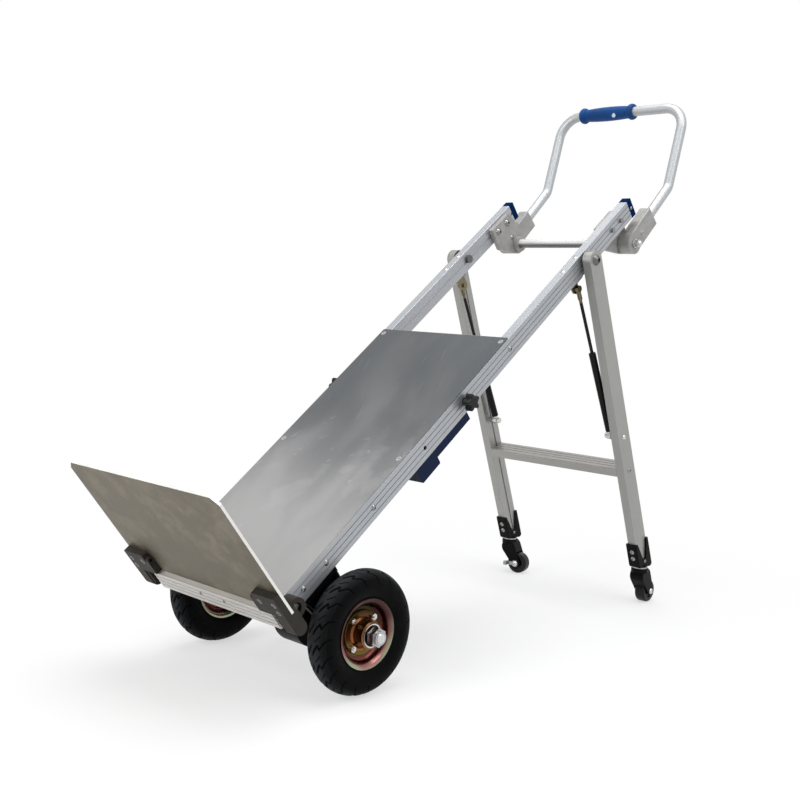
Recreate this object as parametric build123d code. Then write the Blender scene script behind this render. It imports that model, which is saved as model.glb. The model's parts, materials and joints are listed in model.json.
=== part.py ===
from build123d import *
import os
from math import acos, cos, pi, radians, sin, tan

# Stair climbing hand truck. X runs across the truck (right is plus), Y from the toe plate to the back,
# Z up from the floor. Sizes are in millimetres and degrees.

# Frame extrusions
rail_angle = 36.8
frame_width = 342.0
rail_length = 1174.0
bar_wide = 20.0
bar_deep = 40.0
bar_wall = 3.0
bar_corner = 0.8
groove_wide = 1.6
groove_depth = 0.8
groove_pitch = 10.0
slot_wide = 6.0
slot_depth = 1.8
cap_length = 17.0

# Clearances
seat_gap = 0.05
run_gap = 0.05
face_gap = 0.3

# Cross members and deck
front_bar_front = 14.0
front_bar_back = front_bar_front - bar_wide
inner_bar_low = 257.0
inner_bar_tuck = 7.0
deck_start = 8.0
deck_length = 703.0
deck_thick = 2.0
deck_corner = 3.0
deck_screw_edge = 13.0

# Button-head screws
screw_radius = 3.0
screw_head_radius = 5.5
screw_head_high = 3.2
screw_length = 6.0
low_head_high = 1.9
flat_head_deep = 1.5
flat_socket_deep = 0.8
axle_screw_spread = 31.0
top_screw_backs = (250.0, 201.0)
plug_hole_place = 415.0
plug_hole_radius = 4.0
front_bolt_half = 34.0
front_bolt_drop = 15.0
small_screw_radius = 2.0
small_head_radius = 3.6
small_head_high = 1.8

# Toe plate and its hinges
toe_overhang = 47.0
toe_height = 257.0
toe_thick = 5.0
toe_chamfer = 14.0
toe_lift = 2.0
fold_gap = 2.0
hinge_drop = 14.0
pad_wide = 60.0
pad_high = 46.0
pad_deep = 13.0
pad_lug = 9.0
cheek_wide = 26.0
cheek_reach = 30.0
cheek_round = 13.0
hinge_arm_wide = 14.0
knuckle_inset = 20.0
knuckle_radius = 18.0
hinge_bolt_radius = 6.0
hinge_head_radius = 9.0
hinge_head_high = 4.0
pad_screw_edge = 12.0
pad_screw_rises = (12.0, 30.0)
pad_screw_head_high = 1.6

# Main wheels and axle
tyre_radius = 110.0
tyre_wide = 53.0
tyre_wall = 7.0
tyre_shoulder = 9.0
tyre_crown = 5.5
tyre_gap = 3.0
bead_radius = 53.0
rim_lip_radius = 62.0
rim_half = 19.0
rim_seat_half = 13.0
rim_sheet = 2.2
rim_dish = 8.5
lip_gap = 0.4
hub_radius = 25.0
hub_inner_reach = 26.5
hub_outer_reach = 32.0
hub_flange_radius = 40.0
hub_flange_thick = 4.0
hub_shoulder = 3.0
hub_bolt_circle = 34.0
hub_bolt_count = 4
hub_bolt_end = 2.5
hub_bolt_head_radius = 5.0
hub_bolt_head_high = 4.0
hub_nut_radius = 6.0
hub_nut_high = 5.0
bearing_radius = 21.0
bearing_wide = 12.0
bearing_step = 4.0
axle_radius = 10.0
axle_thread_step = 1.0
axle_place = 90.0
axle_drop = 151.0
axle_stud = 22.0
nut_across = 30.0
nut_high = 17.0
washer_radius = 12.5
washer_thick = 2.5

# Axle brackets
bracket_plate = 6.0
bracket_boss_radius = 26.0
bracket_span = 84.0
bracket_ledge = 10.0
bracket_ribs = 3
rib_thick = 5.0

# Climbing drive
gearbox_radius = 54.0
gearbox_wide = 62.0
gearbox_wall = 4.0
hanger_thick = 10.0
gear_module = 2.0
gear_teeth = 42
pinion_teeth = 18
gear_wide = 22.0
gear_backlash = 0.35
pressure_angle = 20.0
pinion_tilt = 30.0
pinion_room = 12.0
motor_radius = 34.0
motor_shaft_radius = 8.0
motor_shaft_reach = 20.0
motor_end_room = 14.0
motor_boss_radius = 12.0
motor_boss_high = 4.0
sleeve_wall = 5.0
crank_thick = 12.0
crank_half = 15.0
crank_boss_radius = 26.0
crank_tip_radius = 18.0
crank_reach = 94.0
crank_room = 6.0
roller_radius = 36.0
roller_wide = 31.0
roller_gap = 1.0
roller_room = 3.0
roller_pin_radius = 6.0
controller_inset = 56.0
controller_start = 186.0
controller_end = 352.0
controller_deep = 62.0
controller_wall = 2.5
controller_corner = 6.0
cable_slot_edge = 40.0
cable_slot_end = 20.0

# Battery box and its clamp knobs
battery_gap = 0.5
battery_start = 387.0
battery_step = 445.0
battery_end = 555.0
battery_top = 3.0
battery_thick_low = 88.0
battery_thin_low = 73.5
battery_corner = 4.0
knob_place = 546.0
knob_radius = 17.0
knob_lobes = 5
knob_scallop = 0.18
knob_thick = 15.0
knob_neck = 8.0
knob_stem_radius = 4.0

# Folding legs
leg_back = 184.0
leg_drop = 18.5
leg_gap = 6.0
leg_lean = 18.9
leg_bar_place = 474.5
leg_bolt_radius = 6.0
leg_bolt_head_radius = 11.0
leg_bolt_head_high = 7.5
leg_spacer_radius = 13.0
leg_bolt_tail_radius = 9.0
leg_bolt_tail = 6.0
strut_on_leg = 396.0

# Gas struts
strut_back = 227.0
strut_below_rail = 20.0
cylinder_radius = 7.6
cylinder_length = 186.0
cylinder_neck = 12.0
neck_radius = 4.5
bore_floor = 10.0
rod_radius = 3.5
rod_start_share = 0.45
fitting_length = 20.0
fitting_radius = 4.8
rod_eye_radius = 7.0
stud_radius = 4.0
stud_collar_radius = 6.5
stud_end = 5.0
eye_radius = 8.0
eye_wide = 10.0
strut_lug_thick = 3.5
strut_lug_radius = 11.0
strut_foot_half = 18.0
strut_foot_thick = 3.0

# Casters
caster_height = 84.0
caster_trail = 26.0
caster_radius = 25.0
caster_wide = 24.0
caster_tread_round = 5.0
caster_hub_radius = 8.0
caster_angles = {"left": -80.0, "right": 4.0}
cup_wall = 4.0
cup_high = 52.0
cup_floor = 5.0
cup_round = 7.0
cup_screw_rises = (18.0, 34.0)
cup_side_rise = 3.0
notch_low = 8.0
notch_half = 5.0
notch_share = 0.72
fork_plate = 3.0
fork_room = 1.5
wheel_room = 2.5
fork_boss_radius = 11.0
crown_radius = 18.0
crown_shift = 4.0
crown_drop = 8.0
collar_radius = 19.0
collar_high = 10.0
ring_radius = 16.0
ring_high = 2.5
caster_bolt_radius = 4.0
caster_nut_radius = 6.5
lever_side = 1
lever_thick = 4.0
lever_reach = 22.0
lever_half = 4.5
lever_boss_radius = 8.0
lever_pad_out = 9.0
lever_pad_long = 7.5

# Handle
shaft_back = 33.0
shaft_below_rail = 42.0
shaft_radius = 10.0
handle_lean = 5.6
handle_bend = 30.2
handle_lower = 188.0
handle_upper = 191.0
tube_radius = 11.0
tube_wall = 2.0
knee_radius = 32.0
corner_radius = 52.0
block_reach = 90.0
block_side_wall = 2.2
block_edge_wall = 11.0
socket_depth = 44.0
socket_floor_gap = 1.0
drum_radius = 23.0
swivel_bolt_radius = 5.0
swivel_nut_radius = 8.5
swivel_nut_high = 9.0
bracket_bolt_backs = (75.0, 39.0)
bracket_bolt_head_radius = 8.0
bracket_bolt_head_high = 6.0
bracket_bolt_end = 5.0
bracket_edge = 16.0
side_plate = 12.0
bracket_corner = 7.0
set_screw_ahead = 10.0
set_screw_drop = 58.0
boss_length = 22.0
boss_wall = 8.0
shaft_wall_gap = 3.0
tooth_high = 3.0
tooth_count = 24
tooth_ring = 9.0
tooth_gap_half = 1.3
grip_length = 146.0
grip_end_gap = 2.5
grip_wall = 4.5
grip_collar = 3.0
grip_collar_long = 14.0
button_shift = 26.0
button_radius = 4.5
button_proud = 3.0
button_sink = 4.0
button_floor_gap = 2.5
button_dip = 25.0

# Places that follow from the sizes above
cos_a = cos(radians(rail_angle))
sin_a = sin(radians(rail_angle))
rail_outer = frame_width / 2
rail_inner = rail_outer - bar_wide
rail_mid = rail_outer - bar_wide / 2
rail_start = -front_bar_back
rail_end = rail_start + rail_length
deck_end = deck_start + deck_length
deck_screw_places = (deck_start + deck_screw_edge, deck_start + deck_length / 2, deck_end - deck_screw_edge)
inner_bar_places = (inner_bar_low, deck_end - inner_bar_tuck)
axle_screw_places = (axle_place - axle_screw_spread, axle_place + axle_screw_spread)
top_screw_places = tuple(rail_end - back for back in top_screw_backs)
toe_width = frame_width + 2 * toe_overhang
wheel_x = rail_outer + tyre_gap + tyre_wide / 2
axle_thread_radius = axle_radius - axle_thread_step
hinge_place = hinge_drop + deck_thick + fold_gap
knuckle_end = toe_width / 2 - knuckle_inset
cap_screw_place = rail_end + cap_length / 2
cap_screw_drop = -bar_deep / 2
leg_place = rail_end - leg_back
leg_inner = rail_outer + leg_gap
leg_mid = leg_inner + bar_wide / 2
leg_outer = leg_inner + bar_wide
strut_x = rail_mid
strut_rail_place = rail_end - strut_back
strut_rail_drop = bar_deep + strut_below_rail
shaft_place = rail_end - shaft_back
shaft_drop = bar_deep + shaft_below_rail
bracket_bolt_places = tuple(rail_end - back for back in bracket_bolt_backs)
block_start = rail_inner + tooth_high + face_gap
block_wide = 2 * (tube_radius + block_side_wall)
block_half = tube_radius + block_edge_wall
handle_half = block_start + block_wide / 2
grip_radius = tube_radius + grip_wall
grip_flange_radius = grip_radius + grip_collar
grip_center = corner_radius + grip_end_gap + grip_length / 2 - handle_half
button_x = grip_center + button_shift

# The drive's places across the truck, from the axle brackets inwards
crank_inner = rail_inner - bracket_plate - roller_room - roller_wide - roller_gap - crank_thick
gearbox_end = crank_inner - crank_room
gearbox_start = gearbox_end - gearbox_wide
motor_length = gearbox_start + crank_inner - motor_end_room - motor_boss_high
sleeve_radius = axle_radius + sleeve_wall
controller_half = rail_inner - controller_inset
controller_low = bar_deep + controller_deep

# The deck's lower corner, measured from the axle, which stands at the tyre's radius above the floor
corner_back = -(axle_place * cos_a + axle_drop * sin_a)
corner_high = tyre_radius - axle_place * sin_a + axle_drop * cos_a


def side_point(place, rise):
    """Y and Z, measured from the axle's foot, of a point along the rail and square to the deck."""
    y = corner_back + place * cos_a - rise * sin_a
    z = corner_high + place * sin_a + rise * cos_a
    return y, z


handle_slope = rail_angle + handle_lean
upper_slope = handle_slope + handle_bend
shaft_y, shaft_z = side_point(shaft_place, -shaft_drop)
grip_y = shaft_y + handle_lower * cos(radians(handle_slope)) + handle_upper * cos(radians(upper_slope))
grip_z = shaft_z + handle_lower * sin(radians(handle_slope)) + handle_upper * sin(radians(upper_slope))

# The origin lies below the middle of the truck's length
front_y = side_point(-toe_thick, toe_lift + toe_height)[0]
back_y = grip_y + grip_flange_radius
axle_y = -(front_y + back_y) / 2
axle_z = tyre_radius

# Frames: across, along the rail, square to the deck; and the like for the leg, the handle and the strut
RAIL = Plane((0, axle_y + corner_back, corner_high), x_dir=(1, 0, 0), z_dir=(0, -sin_a, cos_a))
leg_y, leg_z = side_point(leg_place, -leg_drop)
leg_pivot = Vector(0, axle_y + leg_y, leg_z)
lean_sin = sin(radians(leg_lean))
lean_cos = cos(radians(leg_lean))
LEG = Plane(leg_pivot, x_dir=(1, 0, 0), z_dir=(0, -lean_sin, lean_cos))
shaft_axis = Vector(0, axle_y + shaft_y, shaft_z)
tube_run = (0, cos(radians(handle_slope)), sin(radians(handle_slope)))
HANDLE = Plane(shaft_axis, x_dir=(1, 0, 0), z_dir=tube_run)
strut_low = LEG.from_local_coords((0, 0, -strut_on_leg))
strut_high = RAIL.from_local_coords((0, strut_rail_place, -strut_rail_drop))
strut_span = (strut_high - strut_low).length
STRUT = Plane(strut_low, x_dir=(1, 0, 0), z_dir=strut_high - strut_low)

# The leg's foot: the swivel axis is upright and passes through the leg's middle above the cup's floor
cup_base = caster_height
leg_end_z = cup_base + cup_floor + bar_deep / 2 * lean_sin
leg_length = (leg_pivot.Z - leg_end_z) / lean_cos
swivel_y = leg_pivot.Y + (leg_pivot.Z - leg_end_z) * tan(radians(leg_lean))

sides = {"left": -1, "right": 1}


def block(x0, x1, y0, y1, z0, z1):
    """A box between two corners."""
    middle = Pos((x0 + x1) / 2, (y0 + y1) / 2, (z0 + z1) / 2)
    return middle * Box(abs(x1 - x0), abs(y1 - y0), abs(z1 - z0))


def rod_x(radius, x0, x1, y=0.0, z=0.0):
    """A round bar along X."""
    middle = Pos((x0 + x1) / 2, y, z)
    return middle * Rot(0, 90, 0) * Cylinder(radius, abs(x1 - x0))


def turned(points):
    """A solid turned about Z from an outline of radius and height."""
    outline = Polyline([(r, 0, h) for r, h in points], close=True)
    return revolve(make_face(outline), Axis.Z)


def facing_x(shape, x, y, z, side):
    """A solid made along Z, laid along X with its top towards the given side."""
    return Pos(x, y, z) * Rot(0, 90 * side, 0) * shape


def prism_x(points, x0, x1):
    """A side-view outline of Y and Z points, given a thickness along X."""
    outline = Polyline([(x0, y, z) for y, z in points], close=True)
    return extrude(make_face(outline), amount=x1 - x0, dir=(1, 0, 0))


def mirrored_pair(shape):
    """The right-hand solid and its left-hand mirror image, as one group."""
    return Compound(children=[mirror(shape, Plane.YZ).solid(), shape.solid()])


def group(shapes):
    """Separate solids kept together as one sub-part."""
    return Compound(children=[solid for shape in shapes for solid in shape.solids()])


def bar_section(grooved=True):
    """The extrusion's section: two chambers, a slot on one face and fine grooves on the other."""
    section = RectangleRounded(bar_wide, bar_deep, bar_corner)
    chamber_high = (bar_deep - 3 * bar_wall) / 2
    chamber_wide = bar_wide - 2 * bar_wall
    for sign in (-1, 1):
        middle = Pos(0, sign * (chamber_high + bar_wall) / 2)
        section -= middle * RectangleRounded(chamber_wide, chamber_high, bar_corner)
    section -= Pos(-bar_wide / 2, 0) * Rectangle(2 * slot_depth, slot_wide)
    if grooved:
        for step in (-1, 0, 1):
            section -= Pos(bar_wide / 2, step * groove_pitch) * Rectangle(2 * groove_depth, groove_wide)
    return section


def bar_along_rail(length, grooved=True):
    """An extrusion along +Y whose grooved face looks to +X."""
    return Rot(-90, 0, 0) * extrude(bar_section(grooved), amount=length)


def bar_across(length, grooved=True):
    """An extrusion along X, centred, whose grooved face looks to -Y."""
    lay = Plane((length / 2, 0, 0), x_dir=(0, -1, 0), z_dir=(-1, 0, 0))
    return lay.location * extrude(bar_section(grooved), amount=length)


def button_screw(length=screw_length, radius=screw_radius, head=screw_head_radius, high=screw_head_high):
    """A domed screw along Z: its head stands on Z = 0 and its shank runs down."""
    dome = Pos(0, 0, high - (head**2 + high**2) / (2 * high)) * Sphere((head**2 + high**2) / (2 * high))
    dome = dome & Pos(0, 0, high / 2) * Cylinder(head, high)
    socket = Pos(0, 0, high) * extrude(RegularPolygon(head * 0.45, 6), amount=-high * 0.5)
    shank = Pos(0, 0, -length / 2) * Cylinder(radius, length)
    return dome - socket + shank


def flat_screw():
    """A countersunk screw along Z whose head lies just below Z = 0."""
    top = -seat_gap
    shape = turned([(0, top), (screw_head_radius, top), (screw_radius, top - flat_head_deep),
                    (screw_radius, -screw_length), (0, -screw_length)])
    socket = extrude(RegularPolygon(screw_head_radius * 0.4, 6), amount=-flat_socket_deep - seat_gap)
    return shape - socket


def countersink():
    """The space that a countersunk screw takes up, with its seat's clearance."""
    head = screw_head_radius + seat_gap
    shank = screw_radius + seat_gap
    return turned([(0, 1), (head, 1), (head, -seat_gap), (shank, -seat_gap - flat_head_deep),
                   (shank, -screw_length - 1), (0, -screw_length - 1)])


def hex_nut(across, high, bore):
    """A hexagon nut along Z with a low collar at its top."""
    body = extrude(RegularPolygon(across / 2, 6, major_radius=False), amount=high * 0.75)
    body = body + Pos(0, 0, high / 2) * Cylinder(across * 0.42, high)
    return body - Pos(0, 0, high / 2) * Cylinder(bore, high * 2)


# Rails, cross members, deck and their screws

def rail(side):
    """One side rail with its holes for screws and bolts, in place."""
    bar = Pos(rail_mid, rail_start, -bar_deep / 2) * bar_along_rail(rail_length)
    hole_depth = screw_length + 1
    for place in axle_screw_places + inner_bar_places:
        bar -= rod_x(screw_radius + seat_gap, rail_outer - hole_depth, rail_outer + 1, place, -bar_deep / 2)
    for place in top_screw_places + deck_screw_places:
        bar -= Pos(rail_mid, place, 0) * Cylinder(screw_radius + seat_gap, 2 * hole_depth)
    bar -= rod_x(plug_hole_radius, rail_outer - hole_depth, rail_outer + 1, plug_hole_place, -bar_deep / 2)
    for place in bracket_bolt_places:
        bar -= rod_x(swivel_bolt_radius + seat_gap, rail_inner - 1, rail_outer + 1, place, -bar_deep / 2)
    bar -= rod_x(leg_bolt_radius + seat_gap, rail_inner - 1, rail_outer + 1, leg_place, -leg_drop)
    bar -= rod_x(hinge_bolt_radius + seat_gap, rail_mid, rail_outer + 1, hinge_place, -hinge_drop)
    bar -= rod_x(knob_stem_radius + run_gap, rail_inner - 1, rail_outer + 1, knob_place, -bar_deep / 2)
    if side < 0:
        bar = mirror(bar, Plane.YZ)
    return RAIL.location * bar


def cross_members():
    """The front bar across the rail ends and the two bars between the rails."""
    front_place = (rail_start - front_bar_front) / 2
    front = Pos(0, front_place, -bar_deep / 2) * bar_across(frame_width)
    for sign in sides.values():
        hole = Pos(sign * front_bolt_half, -front_bar_front, -front_bolt_drop) * Rot(90, 0, 0)
        front -= hole * Cylinder(small_screw_radius + seat_gap, 2 * screw_length + 2)
    bars = [front]
    for place in inner_bar_places:
        bars.append(Pos(0, place, -bar_deep / 2) * bar_across(2 * rail_inner))
    return group([RAIL.location * bar for bar in bars])


def deck_panel():
    """The sheet that carries the load, screwed on top of the rails."""
    sheet = block(-rail_outer, rail_outer, deck_start, deck_end, 0, deck_thick)
    sheet = fillet(sheet.edges().filter_by(Axis.Z), deck_corner)
    for x in (-rail_mid, rail_mid):
        for place in deck_screw_places:
            sheet -= Pos(x, place, deck_thick) * countersink()
    return RAIL.location * sheet


def frame_screws():
    """Screws of the deck, of the rails' outer and top faces, of the end caps and of the front bar."""
    screws = []
    for sign in sides.values():
        for place in axle_screw_places + inner_bar_places:
            screws.append(facing_x(button_screw(), sign * rail_outer, place, -bar_deep / 2, sign))
        for place in top_screw_places:
            screws.append(Pos(sign * rail_mid, place, 0) * button_screw(high=low_head_high))
        for place in deck_screw_places:
            screws.append(Pos(sign * rail_mid, place, deck_thick) * flat_screw())
        small = button_screw(screw_length, small_screw_radius, small_head_radius, small_head_high)
        screws.append(facing_x(small, sign * rail_outer, cap_screw_place, cap_screw_drop, sign))
        screws.append(Pos(sign * front_bolt_half, -front_bar_front, -front_bolt_drop) * Rot(90, 0, 0) * small)
    return group([RAIL.location * screw for screw in screws])


def rail_end_caps():
    """Plastic caps on the rails' upper ends, each with a spigot in the upper chamber."""
    cap = block(rail_inner, rail_outer, rail_end, rail_end + cap_length, -bar_deep, 0)
    outer_edges = cap.edges().group_by(Axis.Y)[-1]
    cap = fillet(outer_edges, 2.0)
    chamber_high = (bar_deep - 3 * bar_wall) / 2
    reach = cap_length
    room = bar_wall + face_gap
    spigot_top = -room
    spigot_low = -bar_wall - chamber_high + face_gap
    cap += block(rail_inner + room, rail_outer - room, rail_end - reach, rail_end, spigot_low, spigot_top)
    hole_end = rail_outer - screw_length - 1
    cap -= rod_x(small_screw_radius + seat_gap, hole_end, rail_outer + 1, cap_screw_place, cap_screw_drop)
    return mirrored_pair(RAIL.location * cap)


# Toe plate, which folds on to the deck

def toe_plate():
    """The plate that lifts the load, with chamfered top corners."""
    low = toe_lift
    high = toe_lift + toe_height
    half = toe_width / 2
    cut = toe_chamfer
    outline = [(-half, low), (half, low), (half, high - cut), (half - cut, high),
               (cut - half, high), (-half, high - cut)]
    face = make_face(Polyline([(x, 0, z) for x, z in outline], close=True))
    plate = extrude(face, amount=toe_thick, dir=(0, -1, 0))
    for sign in sides.values():
        for x, z in pad_screw_sites():
            hole = Pos(sign * x, -toe_thick / 2, z) * Rot(90, 0, 0)
            plate -= hole * Cylinder(screw_radius + seat_gap, toe_thick * 2)
    return RAIL.location * plate


def pad_screw_sites():
    """Across and up places of the screws through each pad."""
    outer = toe_width / 2 - pad_screw_edge
    inner = toe_width / 2 - pad_wide + pad_screw_edge
    low, high = (toe_lift + rise for rise in pad_screw_rises)
    return [(outer, high), (inner, high), (outer, low)]


def toe_hinges():
    """The cast pads under the toe plate, with arms down to the hinge knuckles beside the rails."""
    half = toe_width / 2
    front = -toe_thick - pad_deep
    low = toe_lift + 2
    pad = block(half - pad_wide, half, front, -toe_thick, low, low + pad_high)
    pad = fillet(pad.edges().filter_by(Axis.Y).group_by(Axis.Z)[-1], 4)
    lug_top = low + pad_high * 0.8
    lug_round = pad_deep / 2
    lug_outline = block(half - pad_wide - pad_lug, half - pad_wide, front, -toe_thick, low, lug_top)
    lug = fillet(lug_outline.edges().filter_by(Axis.X).group_by(Axis.Z)[-1], lug_round * 0.95)
    hollow = rod_x(lug_round * 0.45, half - pad_wide - pad_lug - 1, half - pad_wide + 4,
                   (front - toe_thick) / 2, lug_top - lug_round)
    foot = -hinge_drop - cheek_reach
    knuckle_low = -hinge_drop - knuckle_radius
    knuckle_high = -hinge_drop + knuckle_radius / 2
    heel = front + cheek_round
    sole = foot + cheek_round
    cheek = prism_x([(front, low + 8), (front, sole), (heel, foot), (heel + cheek_round, sole),
                     (heel + cheek_round, toe_lift - 1), (-toe_thick, toe_lift - 1), (-toe_thick, low + 8)],
                    half - cheek_wide, half)
    cheek += rod_x(cheek_round, half - cheek_wide, half, heel, sole)
    arm = prism_x([(front + 2, low), (front + 2, sole), (heel, foot + 2), (hinge_place, knuckle_low),
                   (hinge_place, knuckle_high), (-toe_thick, low)], knuckle_end - hinge_arm_wide, knuckle_end)
    knuckle = rod_x(knuckle_radius, rail_outer + face_gap * 4, knuckle_end, hinge_place, -hinge_drop)
    plate_room = block(0, half + 1, -toe_thick, 1, toe_lift - 1, toe_height)
    hinge = pad + lug - hollow + cheek + arm + knuckle - plate_room
    hinge -= rod_x(hinge_bolt_radius + run_gap, 0, half + 1, hinge_place, -hinge_drop)
    head_floor = knuckle_end - hinge_head_high - face_gap
    hinge -= rod_x(hinge_head_radius + face_gap, head_floor, half + 1, hinge_place, -hinge_drop)
    for x, z in pad_screw_sites():
        hinge -= Pos(x, front / 2, z) * Rot(90, 0, 0) * Cylinder(screw_radius + seat_gap, -front * 1.5)
    return mirrored_pair(RAIL.location * hinge)


def toe_screws():
    """Screws that hold the pads, with their heads on the pads' front faces."""
    front = -toe_thick - pad_deep
    screws = []
    for sign in sides.values():
        for x, z in pad_screw_sites():
            screw = button_screw(length=pad_deep + toe_thick, high=pad_screw_head_high)
            screws.append(Pos(sign * x, front, z) * Rot(90, 0, 0) * screw)
    return group([RAIL.location * screw for screw in screws])


def pivot_bolts():
    """The bolts that the toe plate and the legs turn on."""
    toe_head = knuckle_end - hinge_head_high
    toe_bolt = button_screw(toe_head - rail_mid, hinge_bolt_radius, hinge_head_radius, hinge_head_high)
    toe_bolt = facing_x(toe_bolt, toe_head, hinge_place, -hinge_drop, 1)
    head = leg_outer + face_gap
    bolt = button_screw(head - rail_inner, leg_bolt_radius, leg_bolt_head_radius, leg_bolt_head_high)
    bolt = facing_x(bolt, head, leg_place, -leg_drop, 1)
    bolt += rod_x(leg_spacer_radius, rail_outer, leg_inner - face_gap, leg_place, -leg_drop)
    bolt += rod_x(leg_bolt_tail_radius, rail_inner - leg_bolt_tail, rail_inner, leg_place, -leg_drop)
    bolts = [toe_bolt, bolt, mirror(toe_bolt, Plane.YZ), mirror(bolt, Plane.YZ)]
    return group([RAIL.location * shape for shape in bolts])


# Main wheels, made about Z with the outer side up

def tyre():
    """A pneumatic tyre, hollow towards the rim."""
    half = tyre_wide / 2
    wall = tyre_wall
    bead = (bead_radius, 0, rim_seat_half - lip_gap)
    lip = (rim_lip_radius + 2 * lip_gap, 0, rim_half - lip_gap / 2)
    shoulder = (tyre_radius - tyre_shoulder, 0, half - tyre_crown)
    side = ((lip[0] + shoulder[0]) / 2, 0, half)
    inner_shoulder = (shoulder[0] - wall, 0, shoulder[2] - wall)
    inner_side, inner_lip, inner_bead = ((r, 0, z - wall) for r, _, z in (side, lip, bead))
    upper = [
        Line(bead, lip),
        ThreePointArc(lip, side, shoulder),
        ThreePointArc(shoulder, (tyre_radius, 0, 0), flipped(shoulder)),
        ThreePointArc(inner_shoulder, inner_side, inner_lip),
        ThreePointArc(inner_shoulder, (tyre_radius - wall, 0, 0), flipped(inner_shoulder)),
        Line(inner_lip, inner_bead),
        Line(inner_bead, bead),
    ]
    lower = [
        Line(flipped(bead), flipped(lip)),
        ThreePointArc(flipped(lip), flipped(side), flipped(shoulder)),
        ThreePointArc(flipped(inner_shoulder), flipped(inner_side), flipped(inner_lip)),
        Line(flipped(inner_lip), flipped(inner_bead)),
        Line(flipped(inner_bead), flipped(bead)),
    ]
    return revolve(make_face(Wire(upper + lower)), Axis.Z)


def flipped(point):
    """A section's point on the other side of the wheel's middle plane."""
    return point[0], point[1], -point[2]


def rim():
    """A deep pressed rim: two flared flanges with thin lips, a barrel and a centre disc."""
    barrel = bead_radius - face_gap
    inner = barrel - rim_sheet
    top = rim_half + rim_sheet
    disc = rim_sheet
    hole = (hub_radius + face_gap, 0, disc)
    dish = (inner - rim_dish, 0, disc)
    dish_mid = (inner - rim_dish * 0.26, 0, disc + rim_dish * 0.33)
    wall = (inner, 0, rim_seat_half - 1)
    flare = (inner + rim_sheet * 1.2, 0, rim_half - rim_sheet)
    crest = (rim_lip_radius - rim_sheet * 0.8, 0, top)
    curl = (rim_lip_radius, 0, top - rim_sheet * 0.2)
    edge = (rim_lip_radius + lip_gap, 0, rim_half + lip_gap / 2)
    seat = (barrel, 0, rim_seat_half)
    lines = [Line(flipped(hole), hole), Line(seat, flipped(seat))]
    for turn in (tuple, flipped):
        lines += [
            Line(turn(hole), turn(dish)),
            ThreePointArc(turn(dish), turn(dish_mid), turn(wall)),
            ThreePointArc(turn(wall), turn(flare), turn(crest)),
            ThreePointArc(turn(crest), turn(curl), turn(edge)),
            Line(turn(edge), turn(seat)),
        ]
    return revolve(make_face(Wire(lines)), Axis.Z) - hub_bolt_holes()


def hub_bolt_sites():
    """Places of the bolts round the hub."""
    step = 2 * pi / hub_bolt_count
    return [(hub_bolt_circle * cos(step * i + pi / 4), hub_bolt_circle * sin(step * i + pi / 4))
            for i in range(hub_bolt_count)]


def hub_bolt_holes():
    """The clearance holes for the bolts round the hub."""
    hole = Cylinder(screw_radius + seat_gap, 4 * hub_flange_thick)
    return group([Pos(x, y, 0) * hole for x, y in hub_bolt_sites()])


def hub():
    """The bolted flange and the barrel that holds the bearings."""
    seat = bearing_radius + seat_gap
    step = seat - bearing_step
    face = rim_sheet
    top = face + hub_flange_thick
    low_step = bearing_wide + 1 - hub_inner_reach
    high_step = hub_outer_reach - bearing_wide - 1
    shape = turned([
        (seat, -hub_inner_reach), (hub_radius, -hub_inner_reach), (hub_radius, face),
        (hub_flange_radius, face), (hub_flange_radius, top - 1), (hub_flange_radius - 1, top),
        (hub_radius + hub_shoulder, top), (hub_radius, top + hub_shoulder),
        (hub_radius, hub_outer_reach - 2), (hub_radius - 2, hub_outer_reach),
        (seat, hub_outer_reach), (seat, high_step), (step, high_step), (step, low_step), (seat, low_step)])
    return shape - hub_bolt_holes()


def hub_bolts():
    """The flange bolts, with their heads behind the rim's disc and their nuts on the flange."""
    top = rim_sheet + hub_flange_thick
    low = -top - rim_sheet
    high = hub_nut_high + hub_bolt_end
    bolt = Pos(0, 0, (low + high) / 2) * Cylinder(screw_radius, high - low)
    bolt += Pos(0, 0, low) * extrude(RegularPolygon(hub_bolt_head_radius, 6), amount=-hub_bolt_head_high)
    bolt += extrude(RegularPolygon(hub_nut_radius, 6), amount=hub_nut_high)
    return group([Pos(x, y, top) * bolt for x, y in hub_bolt_sites()])


def wheel_bearings():
    """A sealed bearing in each end of the hub."""
    ring = Cylinder(bearing_radius, bearing_wide) - Cylinder(axle_radius + run_gap, bearing_wide * 2)
    for sign in (-1, 1):
        seal = Cylinder(bearing_radius - 3, 1.0) - Cylinder(axle_radius + 3, 2.0)
        ring -= Pos(0, 0, sign * bearing_wide / 2) * seal
    low = Pos(0, 0, bearing_wide / 2 + 1 - hub_inner_reach) * ring
    high = Pos(0, 0, hub_outer_reach - bearing_wide / 2 - 1) * ring
    return group([low, high])


def on_wheel(shape, side):
    """Move a wheel piece to its side of the axle."""
    return group([facing_x(shape, side * wheel_x, axle_y, axle_z, side)])


def axle():
    """The fixed axle with threaded ends."""
    shoulder = wheel_x + hub_outer_reach
    bar = rod_x(axle_radius, -shoulder, shoulder)
    bar += rod_x(axle_thread_radius, -shoulder - axle_stud, shoulder + axle_stud)
    bar = chamfer(bar.edges().filter_by(GeomType.CIRCLE).group_by(Axis.X)[0], 1.5)
    bar = chamfer(bar.edges().filter_by(GeomType.CIRCLE).group_by(Axis.X)[-1], 1.5)
    return Pos(0, axle_y, axle_z) * bar


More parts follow.
